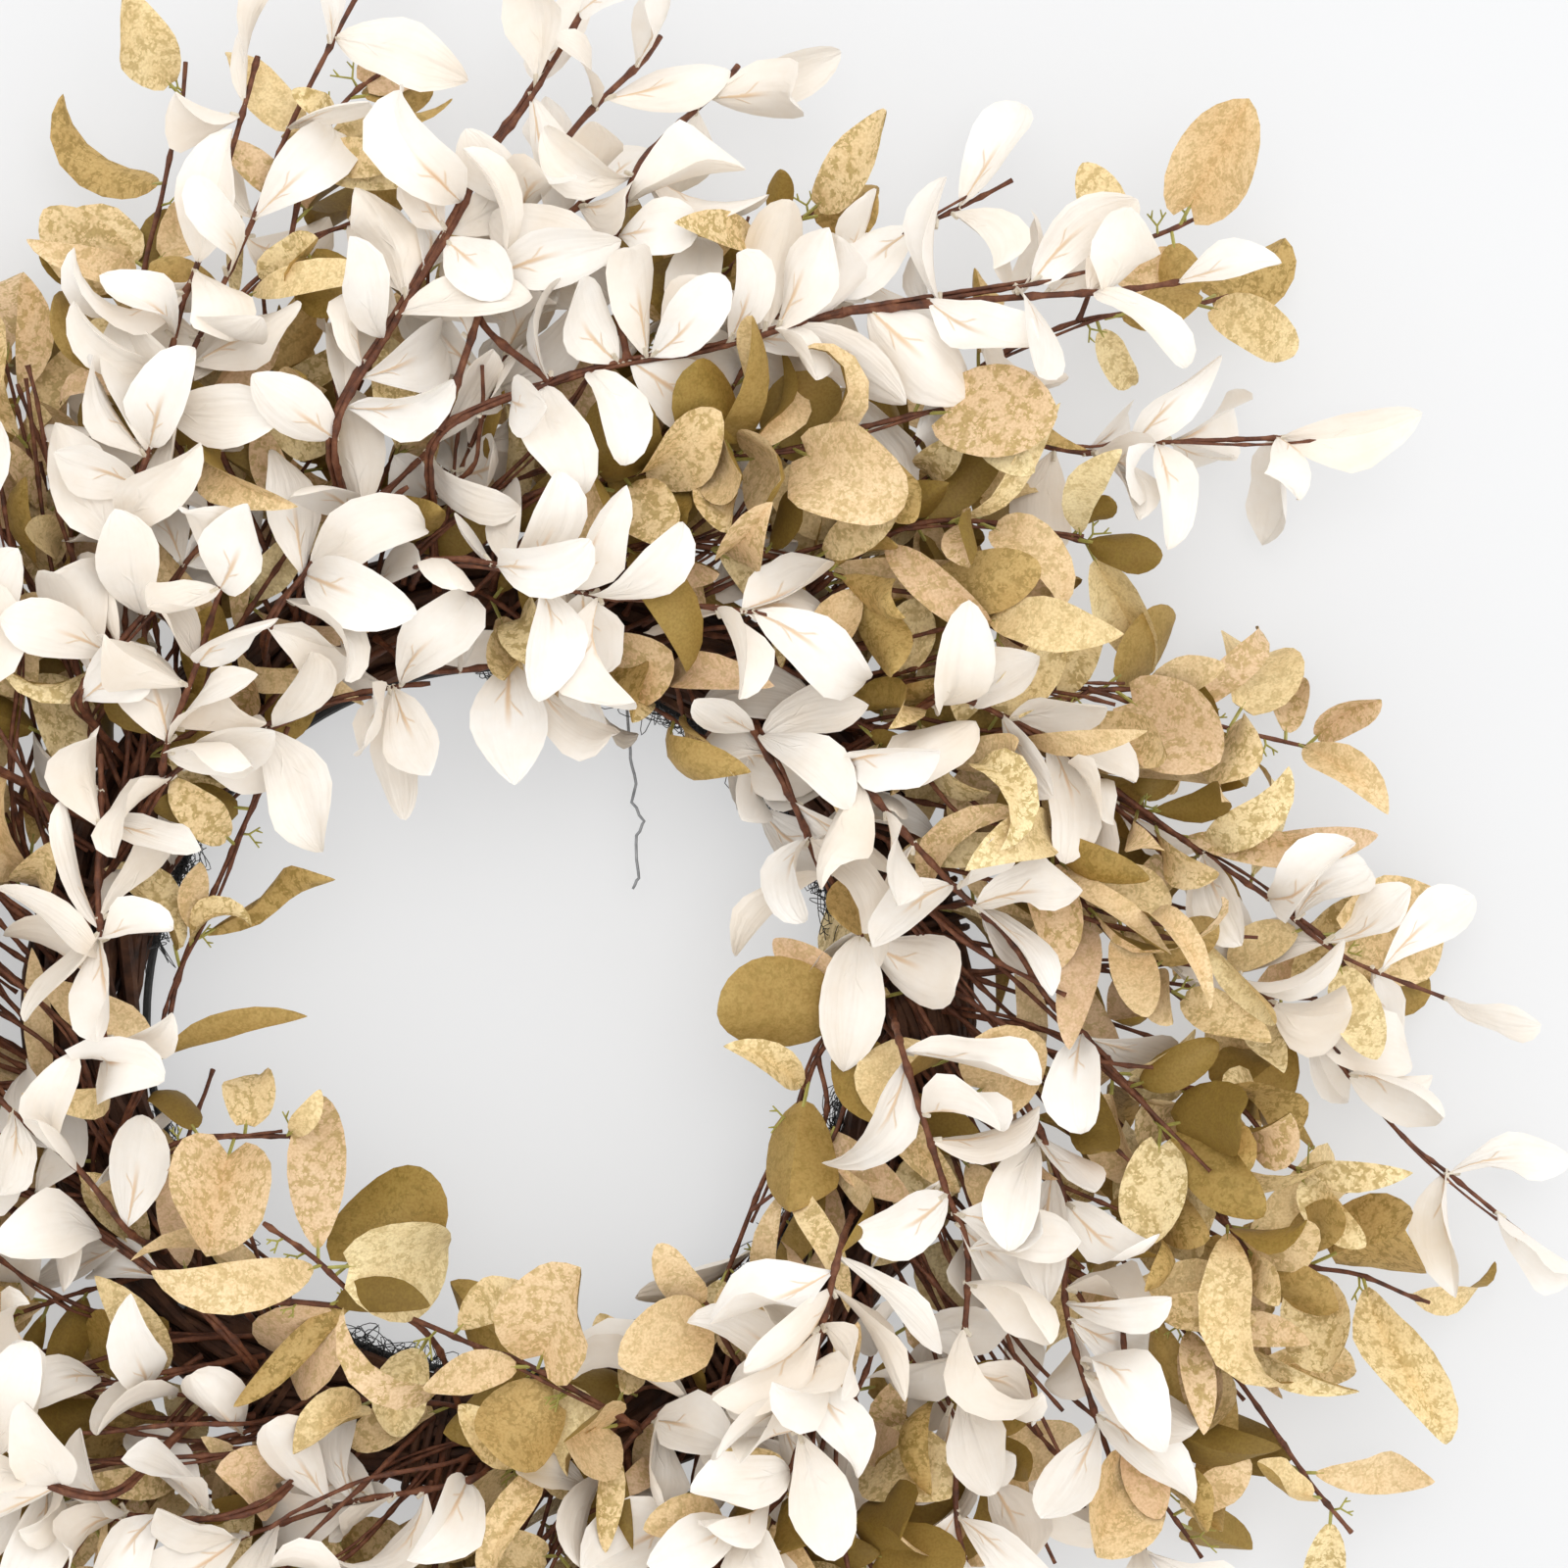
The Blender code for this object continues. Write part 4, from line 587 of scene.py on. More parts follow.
    ("gold_spray_13", 1.2, (
        (66, 68, ((45, -128), (13, -110), (-3, -104), (-17, -98)),
         ((0.5, 66, 42, 33), (0.54, 184, 34, 15), (0.56, 140, 38, -18), (0.93, 36, 38, 14))),
        (60, 46, ((42, -126), (30, -134), (8, -142)),
         ((0.95, 226, 36, 30), (0.8, 240, 42, 13), (0.7, 150, 32, 16), (0.4, -80, 34, -18))))),
    ("gold_spray_14", 1.2, (
        (62, 70, ((-17, -104), (-32, -92), (-53, -90), (-63, -89)),
         ((0.66, 218, 36, 33), (0.82, 2, 34, -12), (0.1, -110, 34, 20))),
        (74, 84, ((-32, -90), (-45, -86), (-57, -75), (-67, -68)),
         ((0.62, 6, 38, 35), (0.55, 45, 40, -32), (0.7, 92, 50, 20), (0.68, 184, 50, 16))))),
    ("gold_spray_15", 1.1, (
        (60, 62, ((98, -132), (83, -112), (71, -91)),
         ((0.98, 125, 28, 14), (1.0, 12, 26, 20), (0.96, -42, 26, 14), (0.95, 204, 33, 27),
          (0.5, 60, 24, -13))),)),
    ("gold_spray_16", 1.1, (
        (58, 62, ((-118, -46), (-99, -36), (-78, -35), (-66, -35)),
         ((0.75, 84, 22, 17), (0.72, -100, 38, 32), (0.5, 128, 28, -15), (1.0, 50, 20, 9))),)),
    ("gold_spray_17", 1.1, (
        (44, 42, ((-118, -28), (-107, -6), (-102, 16), (-96, 32), (-90, 45), (-80, 67), (-69, 90)),
         ((0.48, 18, 54, -8), (0.16, 20, 52, -7), (0.5, 80, 26, 9), (0.46, 34, 24, 9),
          (0.85, 175, 30, -16), (1.0, 70, 30, -18), (0.75, 130, 30, 15))),)),
)

# Sprays on the arms that the drawn view cuts off: a drawn spray turned round the wreath's centre.
TURNED = (
    ("cream_spray_25", "cream_spray_01", 24), ("gold_spray_18", "gold_spray_01", 34),
    ("cream_spray_26", "cream_spray_05", 88), ("gold_spray_19", "gold_spray_03", 104),
    ("cream_spray_27", "cream_spray_03", 78), ("gold_spray_20", "gold_spray_07", 146),
    ("cream_spray_28", "cream_spray_04", 136), ("cream_spray_29", "cream_spray_17", 251),
    ("gold_spray_21", "gold_spray_12", 254), ("cream_spray_30", "cream_spray_01", 134),
    ("gold_spray_22", "gold_spray_01", 144), ("cream_spray_31", "cream_spray_03", 180),
    ("gold_spray_23", "gold_spray_03", 220), ("cream_spray_32", "cream_spray_16", -30),
    ("gold_spray_24", "gold_spray_12", -32),
)


def seen(x, y, level):
    """The place at this level that shows at x, y in the drawn view."""
    share = (EYE.z - level) / (EYE.z - VIEW_LEVEL)
    return Vector((EYE.x + (x - EYE.x) * share, EYE.y + (y - EYE.y) * share, level))


def loop_faces(rows, sides, closed):
    """Faces between rings of points; an open tube gets end caps."""
    faces = []
    for row in range(rows if closed else rows - 1):
        following = (row + 1) % rows
        for side in range(sides):
            beside = (side + 1) % sides
            faces.append((row * sides + side, row * sides + beside,
                          following * sides + beside, following * sides + side))
    if not closed:
        faces.append(tuple(reversed(range(sides))))
        faces.append(tuple(range((rows - 1) * sides, rows * sides)))
    return faces


def ring_mesh():
    """Twisted vines: each section has a ridge for every vine, and the sections turn as they go round."""
    points = []
    turn = 2 * math.pi / RING_VINES * RING_TWISTS / RING_SECTIONS
    for section in range(RING_SECTIONS):
        angle = 2 * math.pi * section / RING_SECTIONS
        for number in range(RING_POINTS):
            around = 2 * math.pi * number / RING_POINTS + turn * section
            ridge = RING_RELIEF * (number % (RING_POINTS // RING_VINES) != 0)
            out = (RING_HALF_WIDTH + ridge) * math.cos(around)
            level = RING_LEVEL + (RING_HALF_HEIGHT + ridge) * math.sin(around)
            points.append(polar(RING_RADIUS + out, angle, max(level, 0.0)))
    faces = loop_faces(RING_SECTIONS, RING_POINTS, False)[:-2]
    shift = RING_TWISTS * RING_POINTS // RING_VINES
    last = (RING_SECTIONS - 1) * RING_POINTS
    for side in range(RING_POINTS):
        beside = (side + 1) % RING_POINTS
        faces.append((last + side, last + beside,
                      (beside + shift) % RING_POINTS, (side + shift) % RING_POINTS))
    return points, [tuple(reversed(face)) for face in faces]


def split(points, faces):
    """The same surface in triangles, as a mesh for clearance tests."""
    triangles = []
    for face in faces:
        for corner in range(1, len(face) - 1):
            triangles.append((face[0], face[corner], face[corner + 1]))
    return points, triangles


def smooth_path(points, step):
    """Places about one step apart on a smooth curve through the points."""
    path = []
    ends = [points[0] * 2 - points[1], *points, points[-1] * 2 - points[-2]]
    for number in range(len(points) - 1):
        a, b, c, d = ends[number:number + 4]
        count = max(1, round((c - b).length / step))
        for part in range(count):
            t = part / count
            path.append(0.5 * (2 * b + (c - a) * t + (2 * a - 5 * b + 4 * c - d) * t ** 2
                               + (3 * b - a - 3 * c + d) * t ** 3))
    path.append(points[-1].copy())
    return path


def place_on(path, share):
    """The place and the direction at a share of a path's length."""
    lengths = [(b - a).length for a, b in zip(path, path[1:])]
    left = share * sum(lengths)
    for number, length in enumerate(lengths):
        if left <= length or number == len(lengths) - 1:
            a, b = path[number], path[number + 1]
            return a.lerp(b, min(1.0, left / length)), (b - a).normalized()
        left -= length


def tube_mesh(path, radius, tip_radius, sides):
    """A round stem that tapers evenly to its tip."""
    last = len(path) - 1
    return swept(path, [radius + (tip_radius - radius) * number / last for number in range(len(path))], sides)


def swept(path, sizes, sides):
    """A tube along a path, with its own radius at each place."""
    points = []
    side = Vector((0, 0, 1))
    for number, (place, size) in enumerate(zip(path, sizes)):
        ahead = (path[min(number + 1, len(path) - 1)] - path[max(number - 1, 0)]).normalized()
        side = (side - ahead * side.dot(ahead)).normalized()
        across = ahead.cross(side)
        for corner in range(sides):
            angle = 2 * math.pi * corner / sides
            points.append(place + size * (side * math.cos(angle) + across * math.sin(angle)))
    return points, loop_faces(len(path), sides, False)


class Crowd:
    """The pieces placed so far, for clearance tests."""

    def __init__(self):
        self.owners = []
        self.trees = []
        self.boxes = np.empty((CROWD_SIZE, 6))

    def add(self, owner, points, triangles):
        spots = np.array([point[:] for point in points])
        self.boxes[len(self.trees)] = (*spots.min(axis=0), *spots.max(axis=0))
        self.owners.append(owner)
        self.trees.append(BVHTree.FromPolygons(points, triangles))

    def meets(self, owner, points, triangles):
        """True if the mesh meets this owner's pieces."""
        return self.blocked(points, triangles, skip=set(self.owners) - {owner})

    def blocked(self, points, triangles, skip=()):
        spots = np.array([point[:] for point in points])
        low, high = spots.min(axis=0), spots.max(axis=0)
        boxes = self.boxes[:len(self.trees)]
        near = np.nonzero(((boxes[:, :3] <= high) & (boxes[:, 3:] >= low)).all(axis=1))[0]
        tree = None
        for number in near:
            if self.owners[number] in skip:
                continue
            tree = tree or BVHTree.FromPolygons(points, triangles)
            if tree.overlap(self.trees[number]):
                return True
        return False


def sleeve(path, radius, gap):
    """A stem's surface moved out by a gap, for clearance tests."""
    more = gap / math.cos(math.pi / STEM_SIDES)
    return split(*tube_mesh(path, radius + more, STEM_TAPER * radius + more, STEM_SIDES))


def stem_foot(start, following, back, side):
    """A place over the ring that the stem can come from: back along its own direction."""
    away = start - following
    away.z = 0
    away.normalize()
    place = start + away * back
    angle = math.atan2(place.y, place.x)
    reach = Vector((place.x, place.y)).length
    margin = FOOT_REACH * RING_HALF_WIDTH
    radius = min(max(reach, RING_RADIUS - margin), RING_RADIUS + margin)
    return polar(radius, angle + side, RING_LEVEL + 2 * RING_HALF_HEIGHT)


def seated_path(ring, crowd, route, place, radius):
    """A stem from the ring through the route, its foot raised until the stem just clears the ring."""
    foot, normal, _, _ = ring.find_nearest(place)
    for _ in range(SEAT_TRIES):
        path = smooth_path([foot] + route, STEM_STEP)
        if not crowd.meets("vine_ring", *sleeve(path, radius, SEAT_GAP)):
            return path
        foot = foot + normal * SEAT_RAISE
    return None


def solve_stem(radius, start_level, end_level, drawn, turn, ring, crowd):
    """A clear route for a stem: its foot is moved and its height changed until nothing blocks it."""
    spin = Matrix.Rotation(turn, 3, "Z")
    count = len(drawn) - 1
    for lift in STEM_LIFTS:
        route = []
        for number, (x, y) in enumerate(drawn):
            level = start_level + (end_level - start_level) * number / count
            raised = lift * (1 - (1 - LIFT_LEFT) * number / count)
            route.append(spin @ seen(x, y, level + raised))
        for back in FOOT_BACKS:
            for side in FOOT_TURNS:
                place = stem_foot(route[0], route[1], back, side)
                path = seated_path(ring, crowd, route, place, radius)
                if path is None:
                    continue
                if not crowd.blocked(*sleeve(path, radius, CLEAR), skip=("vine_ring",)):
                    return path
    return None


def solve_fork(radius, start_level, end_level, drawn, turn, main, crowd, name):
    """A side stem that starts inside the main stem and clears the other sprays."""
    spin = Matrix.Rotation(turn, 3, "Z")
    first = spin @ seen(*drawn[0], start_level)
    flat = [Vector((p.x - first.x, p.y - first.y)).length for p in main]
    number = min(max(flat.index(min(flat)), 1), len(main) - 2)
    root = main[number]
    for lift in FORK_LIFTS:
        route = [root]
        for step, (x, y) in enumerate(drawn[1:], 1):
            level = root.z + (end_level - root.z) * step / (len(drawn) - 1)
            route.append(spin @ seen(x, y, level + lift))
        path = smooth_path(route, STEM_STEP)
        if not crowd.blocked(*sleeve(path, radius, CLEAR), skip=(name,)):
            return path
    return None


def solve_spray(name, radius, stems, turn, ring, crowd):
    """Routes of one spray's stems; the first one starts on the ring."""
    start, end, drawn, _ = stems[0]
    path = solve_stem(radius, start, end, drawn, turn, ring, crowd)
    if path is None:
        return []
    paths = [path]
    add_stem(crowd, name, path, radius)
    for start, end, drawn, _ in stems[1:]:
        fork = solve_fork(FORK_SIZE * radius, start, end, drawn, turn, path, crowd, name)
        paths.append(fork)
        if fork:
            add_stem(crowd, name, fork, FORK_SIZE * radius)
    return paths


def add_stem(crowd, name, path, radius):
    crowd.add(name, *split(*tube_mesh(path, radius, STEM_TAPER * radius, STEM_SIDES)))


def tie_mesh(path, radius, along):
    """A narrow band round a stem, clear of it."""
    place, ahead = place_on(path, along)
    side = Vector((0, 0, 1)) - ahead * ahead.z
    side.normalize()
    across = ahead.cross(side)
    inner = radius + SEAT_GAP
    edge = TIE_WIDTH / 2
    points = []
    for corner in range(TIE_SIDES):
        angle = 2 * math.pi * corner / TIE_SIDES
        way = (side * math.cos(angle) + across * math.sin(angle)) / math.cos(math.pi / TIE_SIDES)
        outer = inner + TIE_THICK
        for reach, shift in ((inner, -edge), (outer, -edge), (outer, edge), (inner, edge)):
            points.append(place + way * reach + ahead * shift)
    return points, loop_faces(TIE_SIDES, 4, True)


def clear_tie(path, radius, crowd):
    """The tie at the first place along its stem where it meets nothing."""
    for along in TIE_PLACES:
        points, faces = tie_mesh(path, radius, along)
        if not crowd.blocked(*split(points, faces)):
            return points, faces, along
    return None


def frame_mesh():
    points = []
    for step in range(RING_SECTIONS):
        angle = 2 * math.pi * step / RING_SECTIONS
        for corner in range(FRAME_SIDES):
            turn = 2 * math.pi * corner / FRAME_SIDES
            points.append(polar(FRAME_RADIUS + FRAME_WIRE * math.cos(turn), angle,
                                FRAME_LEVEL + FRAME_WIRE * math.sin(turn)))
    return points, loop_faces(RING_SECTIONS, FRAME_SIDES, True)


def all_sprays():
    """Drawn sprays and the turned ones: name, stem radius, stems, turn."""
    rows = [(name, radius, stems, 0.0) for name, radius, stems in SPRAYS]
    drawn = {name: (radius, stems) for name, radius, stems in SPRAYS}
    for name, source, degrees in TURNED:
        radius, stems = drawn[source]
        rows.append((name, radius, stems[:1], math.radians(degrees)))
    return rows


crowd = Crowd()
ring_points, ring_faces = ring_mesh()
crowd.add("vine_ring", *split(ring_points, ring_faces))
ring = crowd.trees[0]
crowd.add("frame_wire", *split(*frame_mesh()))
spot, normal, _, _ = ring.find_nearest(TAIL_PATH[0])
TAIL_PATH[0] = spot + normal * 2 * SEAT_GAP
crowd.add("wire_tail", *split(*tube_mesh(TAIL_PATH, TAIL_WIRE, TAIL_WIRE, TAIL_SIDES)))
routes = {}
for name, radius, stems, turn in all_sprays():
    routes[name] = solve_spray(name, radius, stems, turn, ring, crowd)
    if name == TIE_SPRAY:
        tie_radius = radius

# Stem tie: a black plastic band pulled tight round one stem at the left of the ring. It has a
# small head with two holes.
TIE_HEAD = (5.2, 4.2, 2.4)
TIE_HOLE = 0.7
TIE_HOLE_AWAY = 1.3
TIE_EDGE = 0.3
TIE_SMOOTH = 40

tie_path = routes[TIE_SPRAY][0]
tie_points, tie_faces, tie_along = clear_tie(tie_path, tie_radius, crowd)
crowd.add("stem_tie", *split(tie_points, tie_faces))
tie_look = plain("black_tie", 0.22, 260.0, ((0.3, (0.006, 0.006, 0.007)), (0.8, (0.02, 0.02, 0.022))), 0.12)
inner = tie_radius + SEAT_GAP
bpy.ops.object.select_all(action="DESELECT")
bpy.ops.mesh.primitive_cylinder_add(vertices=28, radius=(inner + TIE_THICK / 2) * MM, depth=TIE_WIDTH * MM,
                                    end_fill_type="NOTHING")
tie = bpy.context.object
wall = tie.modifiers.new("wall", "SOLIDIFY")
wall.thickness = TIE_THICK * MM
wall.offset = 0.0
edge = tie.modifiers.new("edge", "BEVEL")
edge.width = TIE_EDGE * MM
edge.segments = 2
for modifier in ("wall", "edge"):
    bpy.ops.object.modifier_apply(modifier=modifier)
bpy.ops.mesh.primitive_cube_add(size=MM, location=(0, (inner + TIE_THICK) * MM, 0))
head = bpy.context.object
head.scale = TIE_HEAD
bpy.ops.object.transform_apply(location=False, scale=True)
for side in (-1, 1):
    bpy.ops.mesh.primitive_cylinder_add(vertices=14, radius=TIE_HOLE * MM, depth=4 * TIE_HEAD[2] * MM,
                                        location=(side * TIE_HOLE_AWAY * MM, (inner + TIE_THICK) * MM, 0))
    drill = bpy.context.object
    hole = head.modifiers.new("hole", "BOOLEAN")
    hole.object = drill
    hole.operation = "DIFFERENCE"
    hole.solver = "EXACT"
    bpy.context.view_layer.objects.active = head
    bpy.ops.object.modifier_apply(modifier="hole")
    bpy.data.objects.remove(drill, do_unlink=True)
pick(head, tie)
bpy.ops.object.join()
tie.name = "stem_band"
tie_spot, ahead = place_on(tie_path, tie_along)
upright = (Vector((0, 0, 1)) - ahead * ahead.z).normalized()
turned = Matrix((upright.cross(ahead), upright, ahead)).transposed().to_4x4()
tie.data.transform(Matrix.Translation(placed(tie_spot)) @ turned)
tie.data.materials.append(tie_look)
bpy.ops.object.shade_smooth_by_angle(angle=math.radians(TIE_SMOOTH))
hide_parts("stem_tie")
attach(tie, "root")

# Leaves: each leaf grows from a node of its stem, turned, tipped and cupped as it is seen. They
# are found as their solids are: near the drawn place, and clear of all that stands there already.
LEAF_SCALES = (1.0, 0.88, 0.76)
LEAF_TURNS = (0, 8, -8, 16, -16, 26, -26)
LEAF_LEANS = (0, 12, -12, 24, -24, 38, -38, 54, -54)
LEAF_SPINS = (0, 22, -22, 45, -45, 70, -70)
LEAF_TRIES = tuple(itertools.product(LEAF_SCALES, LEAF_TURNS, LEAF_LEANS, LEAF_SPINS))
STEEPEST_LEAF = 1.25
ROOT_SHIFT = (0.3, 2.4)
ROOT_SHARE = 0.16
BLADE = 0.8
CREAM_WIDTH = 21.0
CREAM_LONGEST = 44.0
LANCE_WIDTH = 10.5
NARROWEST = 13.5
NARROWEST_TURNED = 15.0
THINNEST_SEEN = 7.0

# Half widths of a leaf along its length, as shares of its greatest half width
OUTLINES = {
    "cream": ((0.0, 0.05), (0.1, 0.24), (0.25, 0.64), (0.42, 0.93), (0.58, 1.0), (0.74, 0.88), (0.88, 0.55),
              (1.0, 0.0)),
    "ovate": ((0.0, 0.06), (0.16, 0.07), (0.2, 0.3), (0.33, 0.8), (0.5, 1.0), (0.7, 0.9), (0.87, 0.52),
              (1.0, 0.0)),
    "round": ((0.0, 0.05), (0.17, 0.06), (0.21, 0.42), (0.34, 0.84), (0.58, 1.0), (0.8, 0.85), (0.93, 0.52),
              (1.0, 0.1)),
    "lance": ((0.0, 0.08), (0.12, 0.1), (0.2, 0.4), (0.36, 0.85), (0.52, 1.0), (0.7, 0.84), (0.86, 0.48),
              (1.0, 0.0)),
}

# Rows of points of a blade: share of its length, points across
STATIONS = {
    "cream": ((0.0, 1), (0.3, 2), (0.66, 3), (1.0, 1)),
    "ovate": ((0.0, 1), (0.2, 2), (0.48, 3), (0.8, 2), (1.0, 1)),
    "round": ((0.0, 1), (0.2, 2), (0.46, 3), (0.84, 2), (1.0, 1)),
    "lance": ((0.0, 1), (0.32, 2), (0.7, 2), (1.0, 1)),
}


def outline_at(kind, share):
    rows = OUTLINES[kind]
    for (s0, w0), (s1, w1) in zip(rows, rows[1:]):
        if share <= s1:
            return w0 + (w1 - w0) * (share - s0) / (s1 - s0)
    return rows[-1][1]


class Leaf:
    """One leaf: where it grows, where its tip is, and how it is rolled, arched, cupped and twisted."""

    def __init__(self, kind, root, tip, roll, width, arch, cup, twist):
        self.kind = kind
        self.root = root
        self.line = tip - root
        self.long = self.line.length
        self.ahead = self.line.normalized()
        up = Vector((0, 0, 1)) - self.ahead * self.ahead.z
        if up.length < 0.05:
            up = Vector((0, 1, 0)) - self.ahead * self.ahead.y
        self.face = Matrix.Rotation(roll, 3, self.ahead) @ up.normalized()
        self.half = width / 2
        self.arch = arch
        self.cup = cup
        self.twist = twist

    def frame(self, share):
        face = Matrix.Rotation(self.twist * max(0.0, share - 0.3), 3, self.ahead) @ self.face
        return face, self.ahead.cross(face)

    def point(self, share, across, grow=0.0):
        face, side = self.frame(share)
        half = self.half * outline_at(self.kind, share) + grow
        lift = self.arch * self.long * 4 * share * (1 - share) + self.cup * half * abs(across) ** 1.6
        return self.root + self.line * share + face * lift + side * half * across

    def solid(self, thick, grow=0.0):
        """A closed blade with both faces split alike."""
        middle, rows = [], []
        for share, count in STATIONS[self.kind]:
            spread = {1: (0.0,), 2: (-1.0, 1.0), 3: (-1.0, 0.0, 1.0)}[count]
            rows.append([len(middle) + number for number in range(count)])
            for across in spread:
                middle.append((self.point(share, across, grow), self.frame(share)[0]))
        face = []
        for first, second in zip(rows, rows[1:]):
            face += strip(first, second)
        rim = [row[0] for row in rows] + [row[-1] for row in reversed(rows) if len(row) > 1]
        total = len(middle)
        points = [p + n * thick / 2 for p, n in middle] + [p - n * thick / 2 for p, n in middle]
        faces = list(face) + [tuple(reversed([v + total for v in f])) for f in face]
        for a, b in zip(rim, rim[1:] + rim[:1]):
            if 0 in (a, b):
                faces.append((b, a, a + total, b + total))
            else:
                faces += [(b, a, a + total), (b, a + total, b + total)]
        return points, faces


def strip(first, second):
    """Triangles between two rows of one, two or three points."""
    if len(first) == 1:
        return [(first[0], b, a) for a, b in zip(second, second[1:])]
    if len(second) == 1:
        return [(a, b, second[0]) for a, b in zip(first, first[1:])]
    if len(first) == 2 and len(second) == 2:
        return [(first[0], first[1], second[1]), (first[0], second[1], second[0])]
    if len(first) == 2 and len(second) == 3:
        return [(first[0], second[1], second[0]), (first[0], first[1], second[1]),
                (first[1], second[2], second[1])]
    return [(first[0], first[1], second[0]), (first[1], second[1], second[0]),
            (first[1], first[2], second[1])]


def leaf_kind(colour, length, width):
    if colour == "cream":
        return "cream"
    if length < 1.5 * width:
        return "round"
    return "ovate" if length < 2.5 * width else "lance"


def draft_leaf(colour, root, heading, length, width, draw):
    """The leaf as drawn: its true length, its roll and its form follow from what is seen of it."""
    kind = leaf_kind(colour, length, abs(width))
    full = {"cream": CREAM_WIDTH, "lance": LANCE_WIDTH}.get(kind, abs(width))
    full = max(full, abs(width))
    roll = math.acos(min(1.0, max(abs(width), THINNEST_SEEN) / full)) * draw.choice((-1, 1))
    longest = CREAM_LONGEST if colour == "cream" else 1.18 * length
    true_length = max(length, min(longest, 1.22 * length))
    tilt = math.acos(min(1.0, length / true_length)) * draw.choice((-1, 1, 1))
    tilt += draw.uniform(-0.1, 0.1)
    roll += draw.uniform(-0.22, 0.22)
    arch = draw.uniform(0.02, 0.1) * (1 if draw.random() < 0.75 else -1)
    cup = draw.uniform(0.05, 0.32)
    if width < 0:
        arch, cup = -arch, -cup
    twist = draw.uniform(-0.5, 0.5)
    if kind == "lance":
        arch *= 1.5
    return kind, true_length, full, heading, tilt, roll, arch, cup, twist


def solve_leaf(draft, root, name, own, crowd, tries=LEAF_TRIES):
    """The leaf nearest to its draft that clears everything else, or none."""
    kind, length, width, heading, tilt, roll, arch, cup, twist = draft
    for scale, turn, lean, spin in tries:
        angle = math.radians(heading + turn)
        rise = tilt + math.radians(lean)
        if abs(rise) > STEEPEST_LEAF:
            continue
        flat = math.cos(rise)
        way = Vector((math.cos(angle) * flat, math.sin(angle) * flat, math.sin(rise)))
        leaf = Leaf(kind, root, root + way * length * scale, roll + math.radians(spin),
                    width * (0.5 + scale / 2), arch, cup, twist)
        points, faces = leaf.solid(BLADE + 2 * CLEAR, CLEAR)
        if min(p.z for p in points) < LOWEST_LEAF:
            continue
        if crowd.blocked(points, faces, skip=(name,)) or blade_meets(leaf, own):
            continue
        return leaf
    return None


def blade_meets(leaf, own):
    """True if the blade beyond its root meets a stem or another blade of the same spray."""
    cut = Leaf(leaf.kind, leaf.root, leaf.root + leaf.line, 0, 2 * leaf.half, leaf.arch, leaf.cup, leaf.twist)
    cut.face = leaf.face
    near = leaf.root + leaf.line * ROOT_SHARE
    points, faces = cut.solid(BLADE + CLEAR, CLEAR / 2)
    half = len(points) // 2
    face = leaf.frame(ROOT_SHARE)[0]
    points[0] = near + face * BLADE / 2
    points[half] = near - face * BLADE / 2
    return own.blocked(points, faces)


def grow_leaves(name, radius, stems, paths, turn, crowd):
    """Leaves of one spray, each as near to its drawn place as its neighbours allow."""
    draw = random.Random(f"{SEED} {name}")
    colour = name.split("_")[0]
    own = Crowd()
    for number, path in enumerate(paths):
        if path:
            add_stem(own, name, path, radius if number == 0 else FORK_SIZE * radius)
    narrowest = NARROWEST_TURNED if turn else NARROWEST
    leaves = []
    for path, (level, _, drawn, rows) in zip(paths, stems):
        if path is None:
            continue
        seen_part = drawn_share(path, Matrix.Rotation(turn, 3, "Z") @ seen(*drawn[0], level))
        for share, heading, length, width in rows:
            if abs(width) < narrowest:
                continue
            place, ahead = place_on(path, 1 - (1 - share) * seen_part)
            root = place - ahead * draw.uniform(*ROOT_SHIFT)
            draft = draft_leaf(colour, root, heading + math.degrees(turn), length, width, draw)
            leaf = solve_leaf(draft, root, name, own, crowd)
            if leaf is None:
                continue
            leaves.append(leaf)
            points, faces = leaf.solid(BLADE)
            crowd.add(name, points, faces)
            own.add(name, points, faces)
    return leaves, own


def drawn_share(path, first):
    """How much of a path lies beyond its first drawn point; the rest leads to the ring."""
    lengths = [(b - a).length for a, b in zip(path, path[1:])]
    apart = [math.hypot(place.x - first.x, place.y - first.y) for place in path[:-1]]
    return sum(lengths[apart.index(min(apart)):]) / sum(lengths)


grown = {}
for name, radius, stems, turn in all_sprays():
    if routes[name]:
        grown[name] = grow_leaves(name, radius, stems, routes[name], turn, crowd)

# Small and hidden leaves: between the large leaves of a spray stand narrow ones seen on edge, and
# further pairs at the nodes of its stem, down to the ring.
SMALL_TRIES = tuple(itertools.product((1.0, 0.8), (0, 18, -18), (0, 26, -26), (0, 50)))
NODE_STEP = (10.0, 15.0)
NODE_START = 0.3
NODE_END = 0.72
CREAM_PAIR = ((24, 42), (8, 21))
GOLD_PAIRS = (((27, 37), (20, 31)), ((34, 46), (12, 18)), ((40, 54), (8, 13)))
BARE_SIDE = (148.0, 206.0)
BARE_SKIP = 0.35
HOLE_CLEAR = 104.0
TIE_CLEAR = 9.0
FARTHEST = 325.0
HIGHEST = 104.0


def in_reach(leaf):
    """True if a leaf keeps out of the hole, as it is seen, and within the wreath's size."""
    for share, across in ((1.0, 0.0), (0.8, 0.0), (0.6, -1.0), (0.6, 1.0), (0.4, 0.0), (0.15, 0.0)):
        place = leaf.point(share, across)
        shown = EYE + (place - EYE) * (EYE.z - VIEW_LEVEL) / (EYE.z - place.z)
        if math.hypot(shown.x, shown.y) < HOLE_CLEAR:
            return False
        if math.hypot(shown.x - tie_spot.x, shown.y - tie_spot.y) < TIE_CLEAR:
            return False
    return math.hypot(place.x, place.y) < FARTHEST and place.z < HIGHEST


